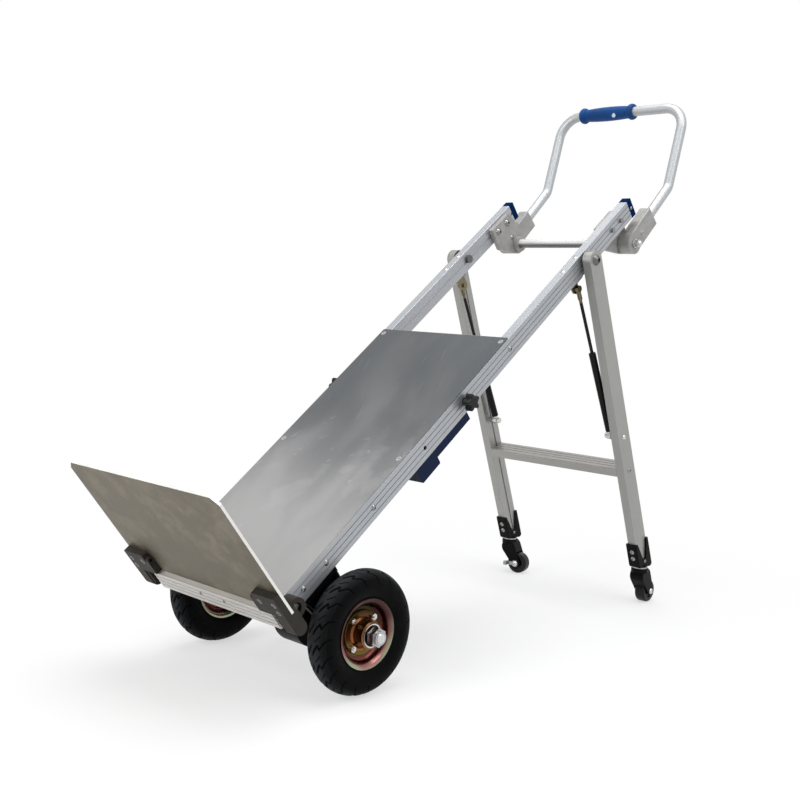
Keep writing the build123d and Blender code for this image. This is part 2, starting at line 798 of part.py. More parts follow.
def axle_nuts():
    """Locking nuts with washers that keep the wheels on."""
    bore = axle_thread_radius + seat_gap
    nut = Pos(0, 0, washer_thick) * hex_nut(nut_across, nut_high, bore)
    nut += Pos(0, 0, washer_thick / 2) * Cylinder(washer_radius, washer_thick)
    nut -= Cylinder(bore, 4 * washer_thick)
    shoulder = wheel_x + hub_outer_reach
    return group([facing_x(nut, sign * shoulder, axle_y, axle_z, sign) for sign in sides.values()])


def axle_brackets():
    """Ribbed castings that hang the axle below the rails."""
    mid = axle_place
    half = bracket_span / 2
    foot = -bar_deep
    low = foot - bracket_ledge
    inner = rail_inner - bracket_plate
    plate = block(inner, rail_inner, mid - half, mid + half, low, -bar_wall)
    ledge = block(inner, rail_outer, mid - half, mid + half, low, foot)
    boss = bracket_boss_radius
    web = prism_x([(mid - half, low), (mid + half, low), (mid + boss, -axle_drop), (mid - boss, -axle_drop)],
                  rail_inner + 2, rail_inner + 2 + bracket_ledge)
    shape = plate + ledge + web + rod_x(boss, rail_inner, rail_outer + 1, mid, -axle_drop)
    for i in range(bracket_ribs):
        lean = (i / (bracket_ribs - 1) - 0.5) * 2
        top = mid + lean * (half - rib_thick)
        low = mid + lean * (boss - rib_thick)
        shape += prism_x([(top - rib_thick / 2, foot - 5), (top + rib_thick / 2, foot - 5),
                          (low + rib_thick / 2, -axle_drop), (low - rib_thick / 2, -axle_drop)],
                         rail_inner + 4, rail_outer - 1)
    shape -= rod_x(axle_radius + seat_gap, rail_inner - 20, rail_outer + 20, mid, -axle_drop)
    return mirrored_pair(RAIL.location * shape)


# Climbing drive round the axle

def gear_outline(teeth):
    """An involute gear outline with its first tooth along X."""
    pressure = radians(pressure_angle)
    pitch = gear_module * teeth / 2
    base = pitch * cos(pressure)
    root = pitch - 1.25 * gear_module
    tip = pitch + gear_module
    half_pitch = (pi * gear_module / 2 - gear_backlash) / (2 * pitch)
    roll = tan(pressure) - pressure

    def flank(radius):
        lean = acos(min(1.0, base / radius))
        return half_pitch + roll - (tan(lean) - lean)

    radii = [root, max(base, root + 0.2), pitch, tip]
    points = []
    for tooth in range(teeth):
        middle = 2 * pi * tooth / teeth
        points += [(r, middle - flank(r)) for r in radii]
        points += [(r, middle + flank(r)) for r in reversed(radii)]
    return make_face(Polyline([(r * cos(a), r * sin(a), 0) for r, a in points], close=True))


pinion_distance = gear_module * (gear_teeth + pinion_teeth) / 2
pinion_y = pinion_distance * cos(radians(pinion_tilt + rail_angle))
pinion_z = pinion_distance * sin(radians(pinion_tilt + rail_angle))
pinion_center = Vector(0, axle_y + pinion_y, axle_z + pinion_z)
gear_start = (gearbox_start + gearbox_end - gear_wide) / 2


def geared(teeth, turn, y, z, x0, wide):
    """A gear across the truck, with its first tooth turned to an angle in the side view."""
    lay = Plane((x0, y, z), x_dir=(0, 1, 0), z_dir=(1, 0, 0))
    return lay.location * Rot(0, 0, turn) * extrude(gear_outline(teeth), amount=wide)


def crank_shaft():
    """The sleeve that turns on the axle, with the driven gear cut on it."""
    reach = crank_inner + crank_thick
    sleeve = Pos(0, axle_y, axle_z) * rod_x(sleeve_radius, -reach, reach)
    sleeve += geared(gear_teeth, pinion_tilt + rail_angle, axle_y, axle_z, gear_start, gear_wide)
    return sleeve - Pos(0, axle_y, axle_z) * rod_x(axle_radius + run_gap, -reach - 1, reach + 1)


def motor_pinion():
    """The motor's pinion and its shaft, in mesh with the driven gear."""
    turn = pinion_tilt + rail_angle + 180 + 180 / pinion_teeth
    y = pinion_center.Y
    z = pinion_center.Z
    pinion = geared(pinion_teeth, turn, y, z, gear_start + 1, gear_wide - 2)
    shaft_end = gearbox_end - gearbox_wall - 2
    return pinion + rod_x(motor_shaft_radius, gearbox_start - motor_shaft_reach, shaft_end, y, z)


def gearbox_case():
    """The round case about the axle, closed over the gear and the pinion."""
    outer = gearbox_radius
    small = gear_module * pinion_teeth / 2 + pinion_room
    case = rod_x(outer, gearbox_start, gearbox_end)
    case += rod_x(small, gearbox_start, gearbox_end, pinion_y, pinion_z)
    inner = outer - gearbox_wall
    x0 = gearbox_start + gearbox_wall
    x1 = gearbox_end - gearbox_wall
    case -= rod_x(inner, x0, x1) + rod_x(small - gearbox_wall, x0, x1, pinion_y, pinion_z)
    case -= rod_x(sleeve_radius + run_gap, gearbox_start - 1, gearbox_end + 1)
    case -= rod_x(motor_shaft_radius + run_gap, gearbox_start - 1, x0 + 1, pinion_y, pinion_z)
    case = Pos(0, axle_y, axle_z) * case
    # A hanger reaches from the case to the front face of the middle cross member
    place = axle_place + pinion_distance * cos(radians(pinion_tilt))
    rise = -axle_drop + pinion_distance * sin(radians(pinion_tilt)) + small * 0.7
    bar_front = inner_bar_places[0] - bar_wide / 2
    lift = bar_deep * 0.2
    hanger = prism_x([(place - 12, rise), (place - 12, -bar_deep), (place + 20, -lift), (bar_front, -lift),
                      (bar_front, lift - bar_deep), (place + 36, lift - bar_deep), (place + 18, rise)],
                     gearbox_start, gearbox_start + hanger_thick)
    return case + RAIL.location * hanger


def drive_motor():
    """The motor on the gearbox's inner face."""
    end = gearbox_start
    can = rod_x(motor_radius, end - motor_length, end, pinion_y, pinion_z)
    can = fillet(can.edges().filter_by(GeomType.CIRCLE).group_by(Axis.X)[0], 5)
    back = end - motor_length
    can += rod_x(motor_boss_radius, back - motor_boss_high, back, pinion_y, pinion_z)
    can -= rod_x(motor_shaft_radius + run_gap, end - motor_shaft_reach - 1, end + 1, pinion_y, pinion_z)
    return Pos(0, axle_y, axle_z) * can


def crank_arms():
    """The two climbing arms, parked to the rear, with pins for the rollers."""
    x0 = crank_inner
    x1 = crank_inner + crank_thick
    arm = rod_x(crank_boss_radius, x0, x1) + rod_x(crank_tip_radius, x0, x1, crank_reach)
    arm += block(x0, x1, 0, crank_reach, -crank_half, crank_half)
    arm += rod_x(roller_pin_radius, x1, x1 + 2 * roller_gap + roller_wide, crank_reach)
    arm -= rod_x(sleeve_radius + seat_gap, x0 - 1, x1 + 1)
    return mirrored_pair(Pos(0, axle_y, axle_z) * arm)


def roller(side):
    """A rubber-tyred climbing roller at the end of a crank arm."""
    start = crank_inner + crank_thick + roller_gap
    wheel = rod_x(roller_radius, start, start + roller_wide)
    wheel = fillet(wheel.edges(), 4)
    wheel -= rod_x(roller_pin_radius + run_gap, start - 1, start + roller_wide + 1)
    wheel = Pos(0, axle_y + crank_reach, axle_z) * wheel
    return wheel if side > 0 else mirror(wheel, Plane.YZ)


def controller_box():
    """The black tray for the electronics, hung under the middle cross member."""
    top = -bar_deep
    tray = block(-controller_half, controller_half, controller_start, controller_end, -controller_low, top)
    tray = fillet(tray.edges().group_by(Axis.Z)[0], controller_corner)
    wall = controller_wall
    room_half = controller_half - wall
    tray -= block(-room_half, room_half, controller_start + wall, controller_end - wall,
                  wall - controller_low, top - wall)
    slot_half = controller_half - cable_slot_edge
    slot_start = controller_start + cable_slot_end
    slot_end = inner_bar_low - cable_slot_end
    tray -= block(-slot_half, slot_half, slot_start, slot_end, top - 2 * wall, top + wall)
    return RAIL.location * tray


# Battery and its clamp knobs

def battery_box():
    """The stepped battery case between the rails."""
    half = rail_inner - battery_gap
    case = block(-half, half, battery_start, battery_step, -battery_thick_low, -battery_top)
    case += block(-half, half, battery_step, battery_end, -battery_thin_low, -battery_top)
    case = fillet(case.edges().filter_by(Axis.X).group_by(Axis.Z)[0], battery_corner)
    return RAIL.location * case


def star_knob(side):
    """A five-lobed clamp knob whose screw reaches through the rail to the battery case."""
    stem = rail_outer - rail_inner + battery_gap - face_gap
    steps = 8 * knob_lobes
    outline = []
    for i in range(steps):
        turn = 2 * pi * i / steps
        reach = knob_radius * (1 - knob_scallop + knob_scallop * cos(knob_lobes * turn))
        outline.append((-reach * sin(turn), reach * cos(turn), knob_neck))
    body = extrude(make_face(Spline(outline, periodic=True)), amount=knob_thick)
    body = fillet(body.faces().sort_by(Axis.Z)[-1].edges(), 2.0)
    body += Pos(0, 0, knob_neck / 2 + face_gap) * Cylinder(knob_radius * 0.5, knob_neck - 2 * face_gap)
    body += Pos(0, 0, (knob_neck - stem) / 2) * Cylinder(knob_stem_radius, stem + knob_neck)
    place = RAIL.location * Pos(side * rail_outer, knob_place, -bar_deep / 2) * Rot(0, 90 * side, 0)
    return place * body


# Folding legs

def leg(side):
    """One leg with a rounded top about its pivot, in place."""
    top = bar_deep / 2
    bar = Rot(180, 0, 0) * extrude(bar_section(grooved=False), amount=leg_length + top)
    bar = Pos(leg_mid, 0, top) * bar
    round_top = rod_x(top, leg_inner - 1, leg_outer + 1)
    round_top += block(leg_inner - 1, leg_outer + 1, -bar_deep, bar_deep, -leg_length - 1, 0)
    bar = bar & round_top
    bar += rod_x(top - bar_corner, leg_inner + slot_depth, leg_outer - bar_corner)
    bar -= rod_x(leg_bolt_radius + run_gap, leg_inner - 1, leg_outer + 1)
    bar -= rod_x(stud_radius + seat_gap, leg_inner - 1, leg_outer + 1, 0, -strut_on_leg)
    bar -= rod_x(screw_radius + seat_gap, leg_outer - screw_length - 1, leg_outer + 1, 0, -leg_bar_place)
    bar -= cup_screw_holes()
    if side < 0:
        bar = mirror(bar, Plane.YZ)
    return LEG.location * bar


def leg_cross_bar():
    """The bar that ties the legs, laid flat with its grooves up."""
    lay = Plane((leg_inner, 0, -leg_bar_place), x_dir=(0, 0, 1), z_dir=(-1, 0, 0))
    bar = lay.location * extrude(bar_section(), amount=2 * leg_inner)
    return LEG.location * bar


def cup_screw_sites():
    """Places on the leg's front face of the two screws that hold the caster cup."""
    front = -bar_deep / 2
    return [(front, rise - leg_length) for rise in cup_screw_rises]


def cup_screw_holes():
    """The holes for the screws of the caster cup, in the leg's frame."""
    holes = []
    for y, z in cup_screw_sites():
        holes.append(Pos(leg_mid, y, z) * Rot(90, 0, 0) * Cylinder(screw_radius + seat_gap, 2 * screw_length))
    low = cup_side_rise - leg_length
    for x in (leg_inner, leg_outer):
        hole = max(screw_length - cup_wall, cup_wall) + 1
        holes.append(rod_x(small_screw_radius + seat_gap, x - hole, x + hole, 0, low))
    return group(holes)


def leg_screws():
    """Screws of the cross bar and of the caster cups."""
    low = cup_side_rise - leg_length
    front_screw = button_screw(length=cup_wall + 4)
    side_screw = button_screw(screw_length, small_screw_radius, small_head_radius, small_head_high)
    screws = []
    for sign in sides.values():
        screws.append(facing_x(button_screw(), sign * leg_outer, 0, -leg_bar_place, sign))
        for y, z in cup_screw_sites():
            screws.append(Pos(sign * leg_mid, y - cup_wall, z) * Rot(90, 0, 0) * front_screw)
        screws.append(facing_x(side_screw, sign * (leg_outer + cup_wall), 0, low, sign))
        screws.append(facing_x(side_screw, sign * (leg_inner - cup_wall), 0, low, -sign))
    return group([LEG.location * screw for screw in screws])


def strut_ball_studs():
    """Studs through the legs that carry the struts' lower eyes."""
    eye_inner = strut_x - eye_wide / 2 - face_gap
    eye_outer = strut_x + eye_wide / 2 + face_gap
    inner = eye_inner - stud_end
    stud = button_screw(leg_outer - inner, stud_radius)
    stud = facing_x(stud, leg_outer, 0, -strut_on_leg, 1)
    stud += rod_x(stud_collar_radius, eye_outer, leg_inner, 0, -strut_on_leg)
    stud += rod_x(stud_collar_radius, inner, eye_inner, 0, -strut_on_leg)
    return mirrored_pair(LEG.location * stud)


def caster_cups():
    """Pressed cups on the legs' feet, notched at the sides, with an upright floor for the swivel."""
    side_x = bar_wide / 2 + cup_wall
    deep = bar_deep / 2 + cup_wall
    low = -leg_length - bar_deep
    shell = block(leg_mid - side_x, leg_mid + side_x, -deep, deep, low, cup_high - leg_length)
    y0 = swivel_y - 2 * cup_high
    y1 = swivel_y + 2 * cup_high
    room = block(0, 2 * leg_mid, y0, y1, cup_base, cup_base + 3 * cup_high)
    cup = (LEG.location * shell) & room
    bottom = cup.faces().sort_by(Axis.Z)[0]
    cup = fillet(bottom.edges().filter_by(Axis.X), cup_round)
    upright = Axis((0, 0, 0), (0, -lean_sin, lean_cos))
    cup = fillet(cup.edges().filter_by(upright), cup_wall / 2)
    cup += Pos(leg_mid, swivel_y, cup_base + cup_floor / 2) * Cylinder(ring_radius, cup_floor)
    spread = deep * notch_share
    notch = prism_x([(-spread, cup_high + 1), (spread, cup_high + 1),
                     (notch_half, notch_low), (-notch_half, notch_low)],
                    leg_mid - side_x - 1, leg_mid + side_x + 1)
    half = bar_deep / 2 + seat_gap
    leg_room = block(leg_inner - seat_gap, leg_outer + seat_gap, -half, half, -leg_length, 0)
    cup -= LEG.location * Pos(0, 0, -leg_length) * notch
    cup -= LEG.location * leg_room
    cup -= LEG.location * cup_screw_holes()
    return mirrored_pair(cup)


# Casters, made with the swivel axis on Z and the wheel trailing towards +Y

def on_caster(shape, side):
    """Turn a caster piece to its rest angle and stand it under its leg."""
    x = sides[side] * leg_mid
    return Pos(x, swivel_y, 0) * Rot(0, 0, caster_angles[side]) * shape


def caster_fork():
    """The swivel ring, the collar and the hooded fork that holds the wheel."""
    half = caster_wide / 2 + fork_room
    out = half + fork_plate
    top = cup_base - face_gap
    ring = Pos(0, 0, top - ring_high / 2) * Cylinder(ring_radius, ring_high)
    collar_low = top - ring_high - collar_high
    collar = Pos(0, 0, top - ring_high - collar_high / 2) * Cylinder(collar_radius, collar_high)
    collar = fillet(collar.edges().group_by(Axis.Z)[-1], 2.0)
    crown = Pos(crown_shift, collar_low - crown_drop) * Circle(crown_radius)
    boss = Pos(caster_trail, caster_radius) * Circle(fork_boss_radius)
    outline = make_hull(crown.edges() + boss.edges())
    lay = Plane((-out, 0, 0), x_dir=(0, 1, 0), z_dir=(1, 0, 0))
    cheeks = lay.location * extrude(outline, amount=2 * out)
    cheeks = fillet(cheeks.edges().group_by(Axis.X)[0] + cheeks.edges().group_by(Axis.X)[-1], 1.5)
    cheeks -= rod_x(caster_radius + wheel_room, -half, half, caster_trail, caster_radius)
    fork = cheeks + collar + ring
    return fork - rod_x(caster_bolt_radius + seat_gap, -out - 1, out + 1, caster_trail, caster_radius)


def caster_wheel():
    """The caster's wheel with a rounded tread."""
    wheel = rod_x(caster_radius, -caster_wide / 2, caster_wide / 2)
    wheel = fillet(wheel.edges(), caster_tread_round)
    half = caster_wide / 2
    recess = rod_x(caster_radius * 0.62, half - fork_plate, half + 1)
    wheel -= recess
    wheel -= mirror(recess, Plane.YZ)
    wheel += rod_x(caster_hub_radius, -half - 1, half + 1)
    wheel -= rod_x(caster_bolt_radius + run_gap, -caster_wide, caster_wide)
    return Pos(0, caster_trail, caster_radius) * wheel


def caster_axle(side):
    """The caster's axle bolt and its nut; the braked caster's bolt is longer on the lever's side."""
    out = caster_wide / 2 + fork_room + fork_plate
    head = out + (lever_thick + 2 * face_gap if side == "left" else 0)
    bolt = button_screw(out + head, caster_bolt_radius, caster_nut_radius, caster_bolt_radius)
    bolt = facing_x(bolt, lever_side * head, 0, 0, lever_side)
    nut = extrude(RegularPolygon(caster_nut_radius, 6), amount=caster_bolt_radius)
    nut = facing_x(nut, -lever_side * out, 0, 0, -lever_side)
    return Pos(0, caster_trail, caster_radius) * (bolt + nut)


def caster_brake_lever():
    """The lever beside the left caster's wheel that turns on its axle bolt."""
    out = caster_wide / 2 + fork_room + fork_plate + face_gap
    x0 = lever_side * out
    x1 = lever_side * (out + lever_thick)
    tip = -lever_reach
    lever = rod_x(lever_boss_radius, x0, x1) + block(x0, x1, tip, 0, -lever_half, lever_half)
    lever += rod_x(lever_half, x0, x1, tip)
    pad_start = tip - lever_half
    pad_x = lever_side * (out + lever_thick + lever_pad_out)
    lever += block(x1, pad_x, pad_start, pad_start + lever_pad_long, -lever_half, lever_half)
    lever -= rod_x(caster_bolt_radius + run_gap, -2 * out, 2 * out)
    return Pos(0, caster_trail, caster_radius) * lever


# Gas struts, made along Z from the leg's stud to the rail

def strut_cylinder(side):
    """The strut's pressure tube with its lower eye and its gland."""
    neck = cylinder_neck
    top = neck + cylinder_length
    tube = Pos(0, 0, (neck + top) / 2) * Cylinder(cylinder_radius, cylinder_length)
    tube = fillet(tube.edges().group_by(Axis.Z)[-1], 2)
    shank = Pos(0, 0, neck / 2 + 2) * Cylinder(neck_radius, neck + 4)
    eye = rod_x(eye_radius, -eye_wide / 2, eye_wide / 2)
    bore = Pos(0, 0, neck + bore_floor + cylinder_length / 2) * Cylinder(rod_radius + run_gap, cylinder_length)
    shape = tube + shank + eye - bore - rod_x(stud_radius + run_gap, -eye_wide, eye_wide)
    return STRUT.location * Pos(sides[side] * strut_x, 0, 0) * shape


def strut_rod(side):
    """The polished rod with its plated end fitting below the rail bracket."""
    low = cylinder_length * rod_start_share
    end = strut_span
    rod = Pos(0, 0, (low + end) / 2) * Cylinder(rod_radius, end - low)
    fitting = Pos(0, 0, end - rod_eye_radius * 2) * Cylinder(fitting_radius, fitting_length)
    eye = rod_x(rod_eye_radius, -eye_wide / 2, eye_wide / 2, 0, end)
    shape = rod + fitting + eye
    return STRUT.location * Pos(sides[side] * strut_x, 0, 0) * shape


def strut_brackets():
    """Plated angles under the rails, each with a lug beside the strut's end fitting."""
    foot = -bar_deep
    mid = strut_rail_place
    thick = strut_lug_thick
    lug_x = strut_x - eye_wide / 2 - face_gap - thick
    plate_low = foot - strut_foot_thick
    plate = block(lug_x, rail_outer - 2, mid - strut_foot_half, mid + strut_foot_half, plate_low, foot)
    lug = block(lug_x, lug_x + thick, mid - strut_lug_radius, mid + strut_lug_radius, -strut_rail_drop, foot)
    lug += rod_x(strut_lug_radius, lug_x, lug_x + thick, mid, -strut_rail_drop)
    boss = rod_x(eye_wide / 2, lug_x - thick, lug_x, mid, -strut_rail_drop)
    return mirrored_pair(RAIL.location * (plate + lug + boss))


# Handle and its swivel

def handle_brackets():
    """Castings on the rails' inner sides that hold the cross shaft, each with a toothed face."""
    x0 = rail_inner - side_plate
    tip = rail_inner + tooth_high
    first = bracket_bolt_places[0] - bracket_edge
    last = bracket_bolt_places[1] + bracket_edge
    top = -bracket_edge / 3
    back = shaft_place + drum_radius
    base = bracket_edge - shaft_drop
    slant = drum_radius * cos(radians(45))
    plate = prism_x([(first, top), (last, top), (back, -bar_deep - bracket_edge / 2), (back, -shaft_drop),
                     (shaft_place - slant, -shaft_drop - slant), (first + bracket_corner, base),
                     (first, base + bracket_corner)], x0, rail_inner)
    plate += rod_x(drum_radius, x0, rail_inner, shaft_place, -shaft_drop)
    plate += rod_x(shaft_radius + boss_wall, rail_inner - boss_length, x0, shaft_place, -shaft_drop)
    ring = rod_x(drum_radius - 1, rail_inner, tip, shaft_place, -shaft_drop)
    ring -= rod_x(drum_radius - tooth_ring, rail_inner - 1, tip + 1, shaft_place, -shaft_drop)
    notch = block(rail_inner + 1, tip + 1, drum_radius - tooth_ring - 1, drum_radius + 1,
                  -tooth_gap_half, tooth_gap_half)
    for i in range(tooth_count):
        ring -= Pos(0, shaft_place, -shaft_drop) * Rot(360 * i / tooth_count, 0, 0) * notch
    shaft_end = rail_inner - shaft_wall_gap
    shape = plate + ring - rod_x(shaft_radius + seat_gap, 0, shaft_end, shaft_place, -shaft_drop)
    shape -= rod_x(swivel_bolt_radius + seat_gap, 0, rail_outer, shaft_place, -shaft_drop)
    for place in bracket_bolt_places:
        shape -= rod_x(swivel_bolt_radius + seat_gap, 0, rail_outer, place, -bar_deep / 2)
    set_place = shaft_place - set_screw_ahead
    shape -= rod_x(screw_radius + seat_gap, x0 - 1, x0 + screw_length + 1, set_place, -set_screw_drop)
    return mirrored_pair(RAIL.location * shape)


def bracket_bolts():
    """Bolts through the rails that hold the handle brackets, and the brackets' set screws."""
    head = rail_inner - side_plate
    length = rail_outer + bracket_bolt_end - head
    bolt = button_screw(length, swivel_bolt_radius, bracket_bolt_head_radius, bracket_bolt_head_high)
    bolts = []
    for sign in sides.values():
        for place in bracket_bolt_places:
            bolts.append(facing_x(bolt, sign * head, place, -bar_deep / 2, -sign))
        set_place = shaft_place - set_screw_ahead
        bolts.append(facing_x(button_screw(), sign * head, set_place, -set_screw_drop, -sign))
    return group([RAIL.location * bolt for bolt in bolts])


def cross_shaft():
    """The tube between the handle brackets, with threaded inserts for the swivel bolts."""
    half = rail_inner - shaft_wall_gap - face_gap
    bar = rod_x(shaft_radius, -half, half, shaft_place, -shaft_drop)
    bar -= rod_x(swivel_bolt_radius + seat_gap, -half - 1, half + 1, shaft_place, -shaft_drop)
    return RAIL.location * bar


def swivel_bolts():
    """Studs from the cross shaft through the swivel blocks, with washers and nuts outside."""
    out = block_start + block_wide + face_gap
    seat = out + washer_thick
    end = seat + swivel_nut_high + swivel_bolt_radius
    bolt = rod_x(swivel_bolt_radius, rail_inner - 2 * boss_length, end, shaft_place, -shaft_drop)
    bolt += rod_x(swivel_nut_radius + 1, out, seat, shaft_place, -shaft_drop)
    nut = extrude(RegularPolygon(swivel_nut_radius, 6), amount=swivel_nut_high)
    bolt += facing_x(nut, seat, shaft_place, -shaft_drop, 1)
    bolt = fillet(bolt.edges().filter_by(GeomType.CIRCLE).group_by(Axis.X)[-1], swivel_bolt_radius * 0.6)
    return mirrored_pair(RAIL.location * bolt)


def swivel_blocks():
    """Cast blocks that turn on the swivel bolts and hold the handle tube's ends."""
    x0 = block_start
    x1 = block_start + block_wide
    body = block(x0, x1, -block_half, block_half, 0, block_reach)
    body = fillet(body.edges().filter_by(Axis.Z), block_side_wall)
    body += rod_x(drum_radius, x0, x1)
    body -= rod_x(swivel_bolt_radius + run_gap, x0 - 1, x1 + 1)
    body -= Pos(handle_half, 0, block_reach) * Cylinder(tube_radius + seat_gap, 2 * socket_depth)
    clamp = button_screw(length=1.0, head=screw_head_radius, high=screw_head_high)
    body += facing_x(clamp, x1, 0, drum_radius + 2 * screw_head_radius, 1)
    return mirrored_pair(HANDLE.location * body)


def handle_tube():
    """The bent tube: two parallel ends, knees and a top bar."""
    start = block_reach - socket_depth + socket_floor_gap
    drop = handle_upper * cos(radians(handle_bend))
    lean = -handle_upper * sin(radians(handle_bend))
    top = handle_lower + drop
    points = [(handle_half, 0, start), (handle_half, 0, handle_lower), (handle_half, lean, top),
              (-handle_half, lean, top), (-handle_half, 0, handle_lower), (-handle_half, 0, start)]
    path = FilletPolyline(*points, radius=[knee_radius, corner_radius, corner_radius, knee_radius])
    section = Circle(tube_radius) - Circle(tube_radius - tube_wall)
    tube = sweep(Plane((handle_half, 0, start), z_dir=(0, 0, 1)) * section, path=path)
    return HANDLE.location * tube


def grip():
    """The barrel-shaped grip with flanged ends, with a pocket for its button."""
    half = grip_length / 2
    flange = grip_collar_long
    bore = tube_radius + seat_gap
    waist = (grip_radius - grip_collar / 2, 0, half - flange)
    collar = (grip_flange_radius, 0, half - flange / 2)
    lip = (grip_flange_radius - grip_collar, 0, half)
    end = (bore, 0, half)
    outline = [Line(flipped(end), end)]
    outline.append(ThreePointArc(flipped(waist), (grip_radius + 1, 0, 0), waist))
    for turn in (tuple, flipped):
        outline.append(Line(turn(end), turn(lip)))
        outline.append(ThreePointArc(turn(lip), turn(collar), turn(waist)))
    body = Rot(0, 90, 0) * revolve(make_face(Wire(outline)), Axis.Z)
    body = Pos(grip_center, 0, 0) * body
    pocket = Pos(0, 0, grip_radius) * Cylinder(button_radius + run_gap, 2 * button_sink)
    pocket = button_axis_location() * pocket
    return grip_location() * (body - pocket)


def grip_location():
    """The middle of the handle's top bar."""
    return Location((0, axle_y + grip_y, grip_z))


def button_axis_location():
    """At the grip's axis, with Z pointing out through the button."""
    dip = radians(button_dip)
    return Plane((button_x, 0, 0), x_dir=(1, 0, 0), z_dir=(0, -cos(dip), -sin(dip))).location


def grip_button():
    """The round push button in the front of the grip."""
    low = grip_radius - button_sink + button_floor_gap
    high = grip_radius + button_proud
    cap = Pos(0, 0, (low + high) / 2) * Cylinder(button_radius, high - low)
    cap = fillet(cap.edges().group_by(Axis.Z)[-1], 1.0)
    return grip_location() * button_axis_location() * cap


def make_parts():
    """Every sub-part by name."""
    parts = {
        "cross_members": cross_members(),
        "deck_panel": deck_panel(),
        "frame_screws": frame_screws(),
        "rail_end_caps": rail_end_caps(),
        "toe_plate": toe_plate(),
        "toe_hinges": toe_hinges(),
        "toe_screws": toe_screws(),
        "pivot_bolts": pivot_bolts(),
        "axle": axle(),
        "axle_nuts": axle_nuts(),
        "axle_brackets": axle_brackets(),
        "crank_shaft": crank_shaft(),
        "crank_arms": crank_arms(),
        "motor_pinion": motor_pinion(),
        "gearbox_case": gearbox_case(),
        "drive_motor": drive_motor(),
        "controller_box": controller_box(),
        "battery_box": battery_box(),
        "leg_cross_bar": leg_cross_bar(),
        "leg_screws": leg_screws(),
        "strut_ball_studs": strut_ball_studs(),
        "strut_brackets": strut_brackets(),
        "caster_cups": caster_cups(),
        "caster_brake_lever": on_caster(caster_brake_lever(), "left"),
        "handle_brackets": handle_brackets(),
        "bracket_bolts": bracket_bolts(),
        "cross_shaft": cross_shaft(),
        "swivel_bolts": swivel_bolts(),
        "swivel_blocks": swivel_blocks(),
        "handle_tube": handle_tube(),
        "grip": grip(),
        "grip_button": grip_button(),
    }
    for name, side in sides.items():
        parts[f"{name}_rail"] = rail(side)
        parts[f"{name}_tyre"] = on_wheel(tyre(), side)
        parts[f"{name}_rim"] = on_wheel(rim(), side)
        parts[f"{name}_hub"] = on_wheel(hub(), side)
        parts[f"{name}_hub_bolts"] = on_wheel(hub_bolts(), side)
        parts[f"{name}_wheel_bearings"] = on_wheel(wheel_bearings(), side)
        parts[f"{name}_roller"] = roller(side)
        parts[f"{name}_star_knob"] = star_knob(side)
        parts[f"{name}_leg"] = leg(side)
        parts[f"{name}_strut_cylinder"] = strut_cylinder(name)
        parts[f"{name}_strut_rod"] = strut_rod(name)
        parts[f"{name}_caster_fork"] = on_caster(caster_fork(), name)
        parts[f"{name}_caster_wheel"] = on_caster(caster_wheel(), name)
        parts[f"{name}_caster_axle"] = on_caster(caster_axle(name), name)
    return parts


os.makedirs("parts", exist_ok=True)
for node, shape in make_parts().items():
    export_step(shape, f"parts/{node}.step")
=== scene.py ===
"""Looks of a stair climbing hand truck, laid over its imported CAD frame."""
from __future__ import annotations

import json
import logging
import math
from dataclasses import dataclass
from enum import Enum

import bpy
import numpy as np
from mathutils import Matrix, Vector

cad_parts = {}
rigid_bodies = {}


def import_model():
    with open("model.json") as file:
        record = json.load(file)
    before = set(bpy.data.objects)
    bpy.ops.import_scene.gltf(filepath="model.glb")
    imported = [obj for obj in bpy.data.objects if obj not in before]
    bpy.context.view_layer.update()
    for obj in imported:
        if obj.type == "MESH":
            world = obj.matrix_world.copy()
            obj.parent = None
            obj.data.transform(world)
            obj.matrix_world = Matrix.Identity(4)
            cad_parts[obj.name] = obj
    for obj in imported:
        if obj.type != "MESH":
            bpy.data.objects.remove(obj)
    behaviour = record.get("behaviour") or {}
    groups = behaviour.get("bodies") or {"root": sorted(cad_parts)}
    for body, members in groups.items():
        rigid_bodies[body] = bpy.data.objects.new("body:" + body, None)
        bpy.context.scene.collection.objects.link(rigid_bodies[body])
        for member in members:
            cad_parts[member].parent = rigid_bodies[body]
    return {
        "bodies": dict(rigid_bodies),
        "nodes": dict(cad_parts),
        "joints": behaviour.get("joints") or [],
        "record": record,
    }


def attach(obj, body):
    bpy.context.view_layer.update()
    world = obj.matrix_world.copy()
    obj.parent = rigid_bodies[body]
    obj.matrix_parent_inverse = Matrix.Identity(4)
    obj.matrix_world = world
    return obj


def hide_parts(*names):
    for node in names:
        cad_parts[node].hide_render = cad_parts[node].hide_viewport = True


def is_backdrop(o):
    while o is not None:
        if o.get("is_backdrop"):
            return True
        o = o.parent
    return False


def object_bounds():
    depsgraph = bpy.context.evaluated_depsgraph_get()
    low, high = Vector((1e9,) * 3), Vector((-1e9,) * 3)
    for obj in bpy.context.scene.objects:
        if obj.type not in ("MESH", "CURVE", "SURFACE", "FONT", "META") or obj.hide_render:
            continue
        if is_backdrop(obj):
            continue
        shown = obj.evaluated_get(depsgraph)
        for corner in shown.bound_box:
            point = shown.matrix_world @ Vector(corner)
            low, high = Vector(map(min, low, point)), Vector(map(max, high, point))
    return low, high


log = logging.getLogger("hand_truck")

Color = tuple[float, float, float]
Pair = tuple[float, float]
Triple = tuple[float, float, float]
Stops = tuple[tuple[float, Color], ...]
Socket = bpy.types.NodeSocket

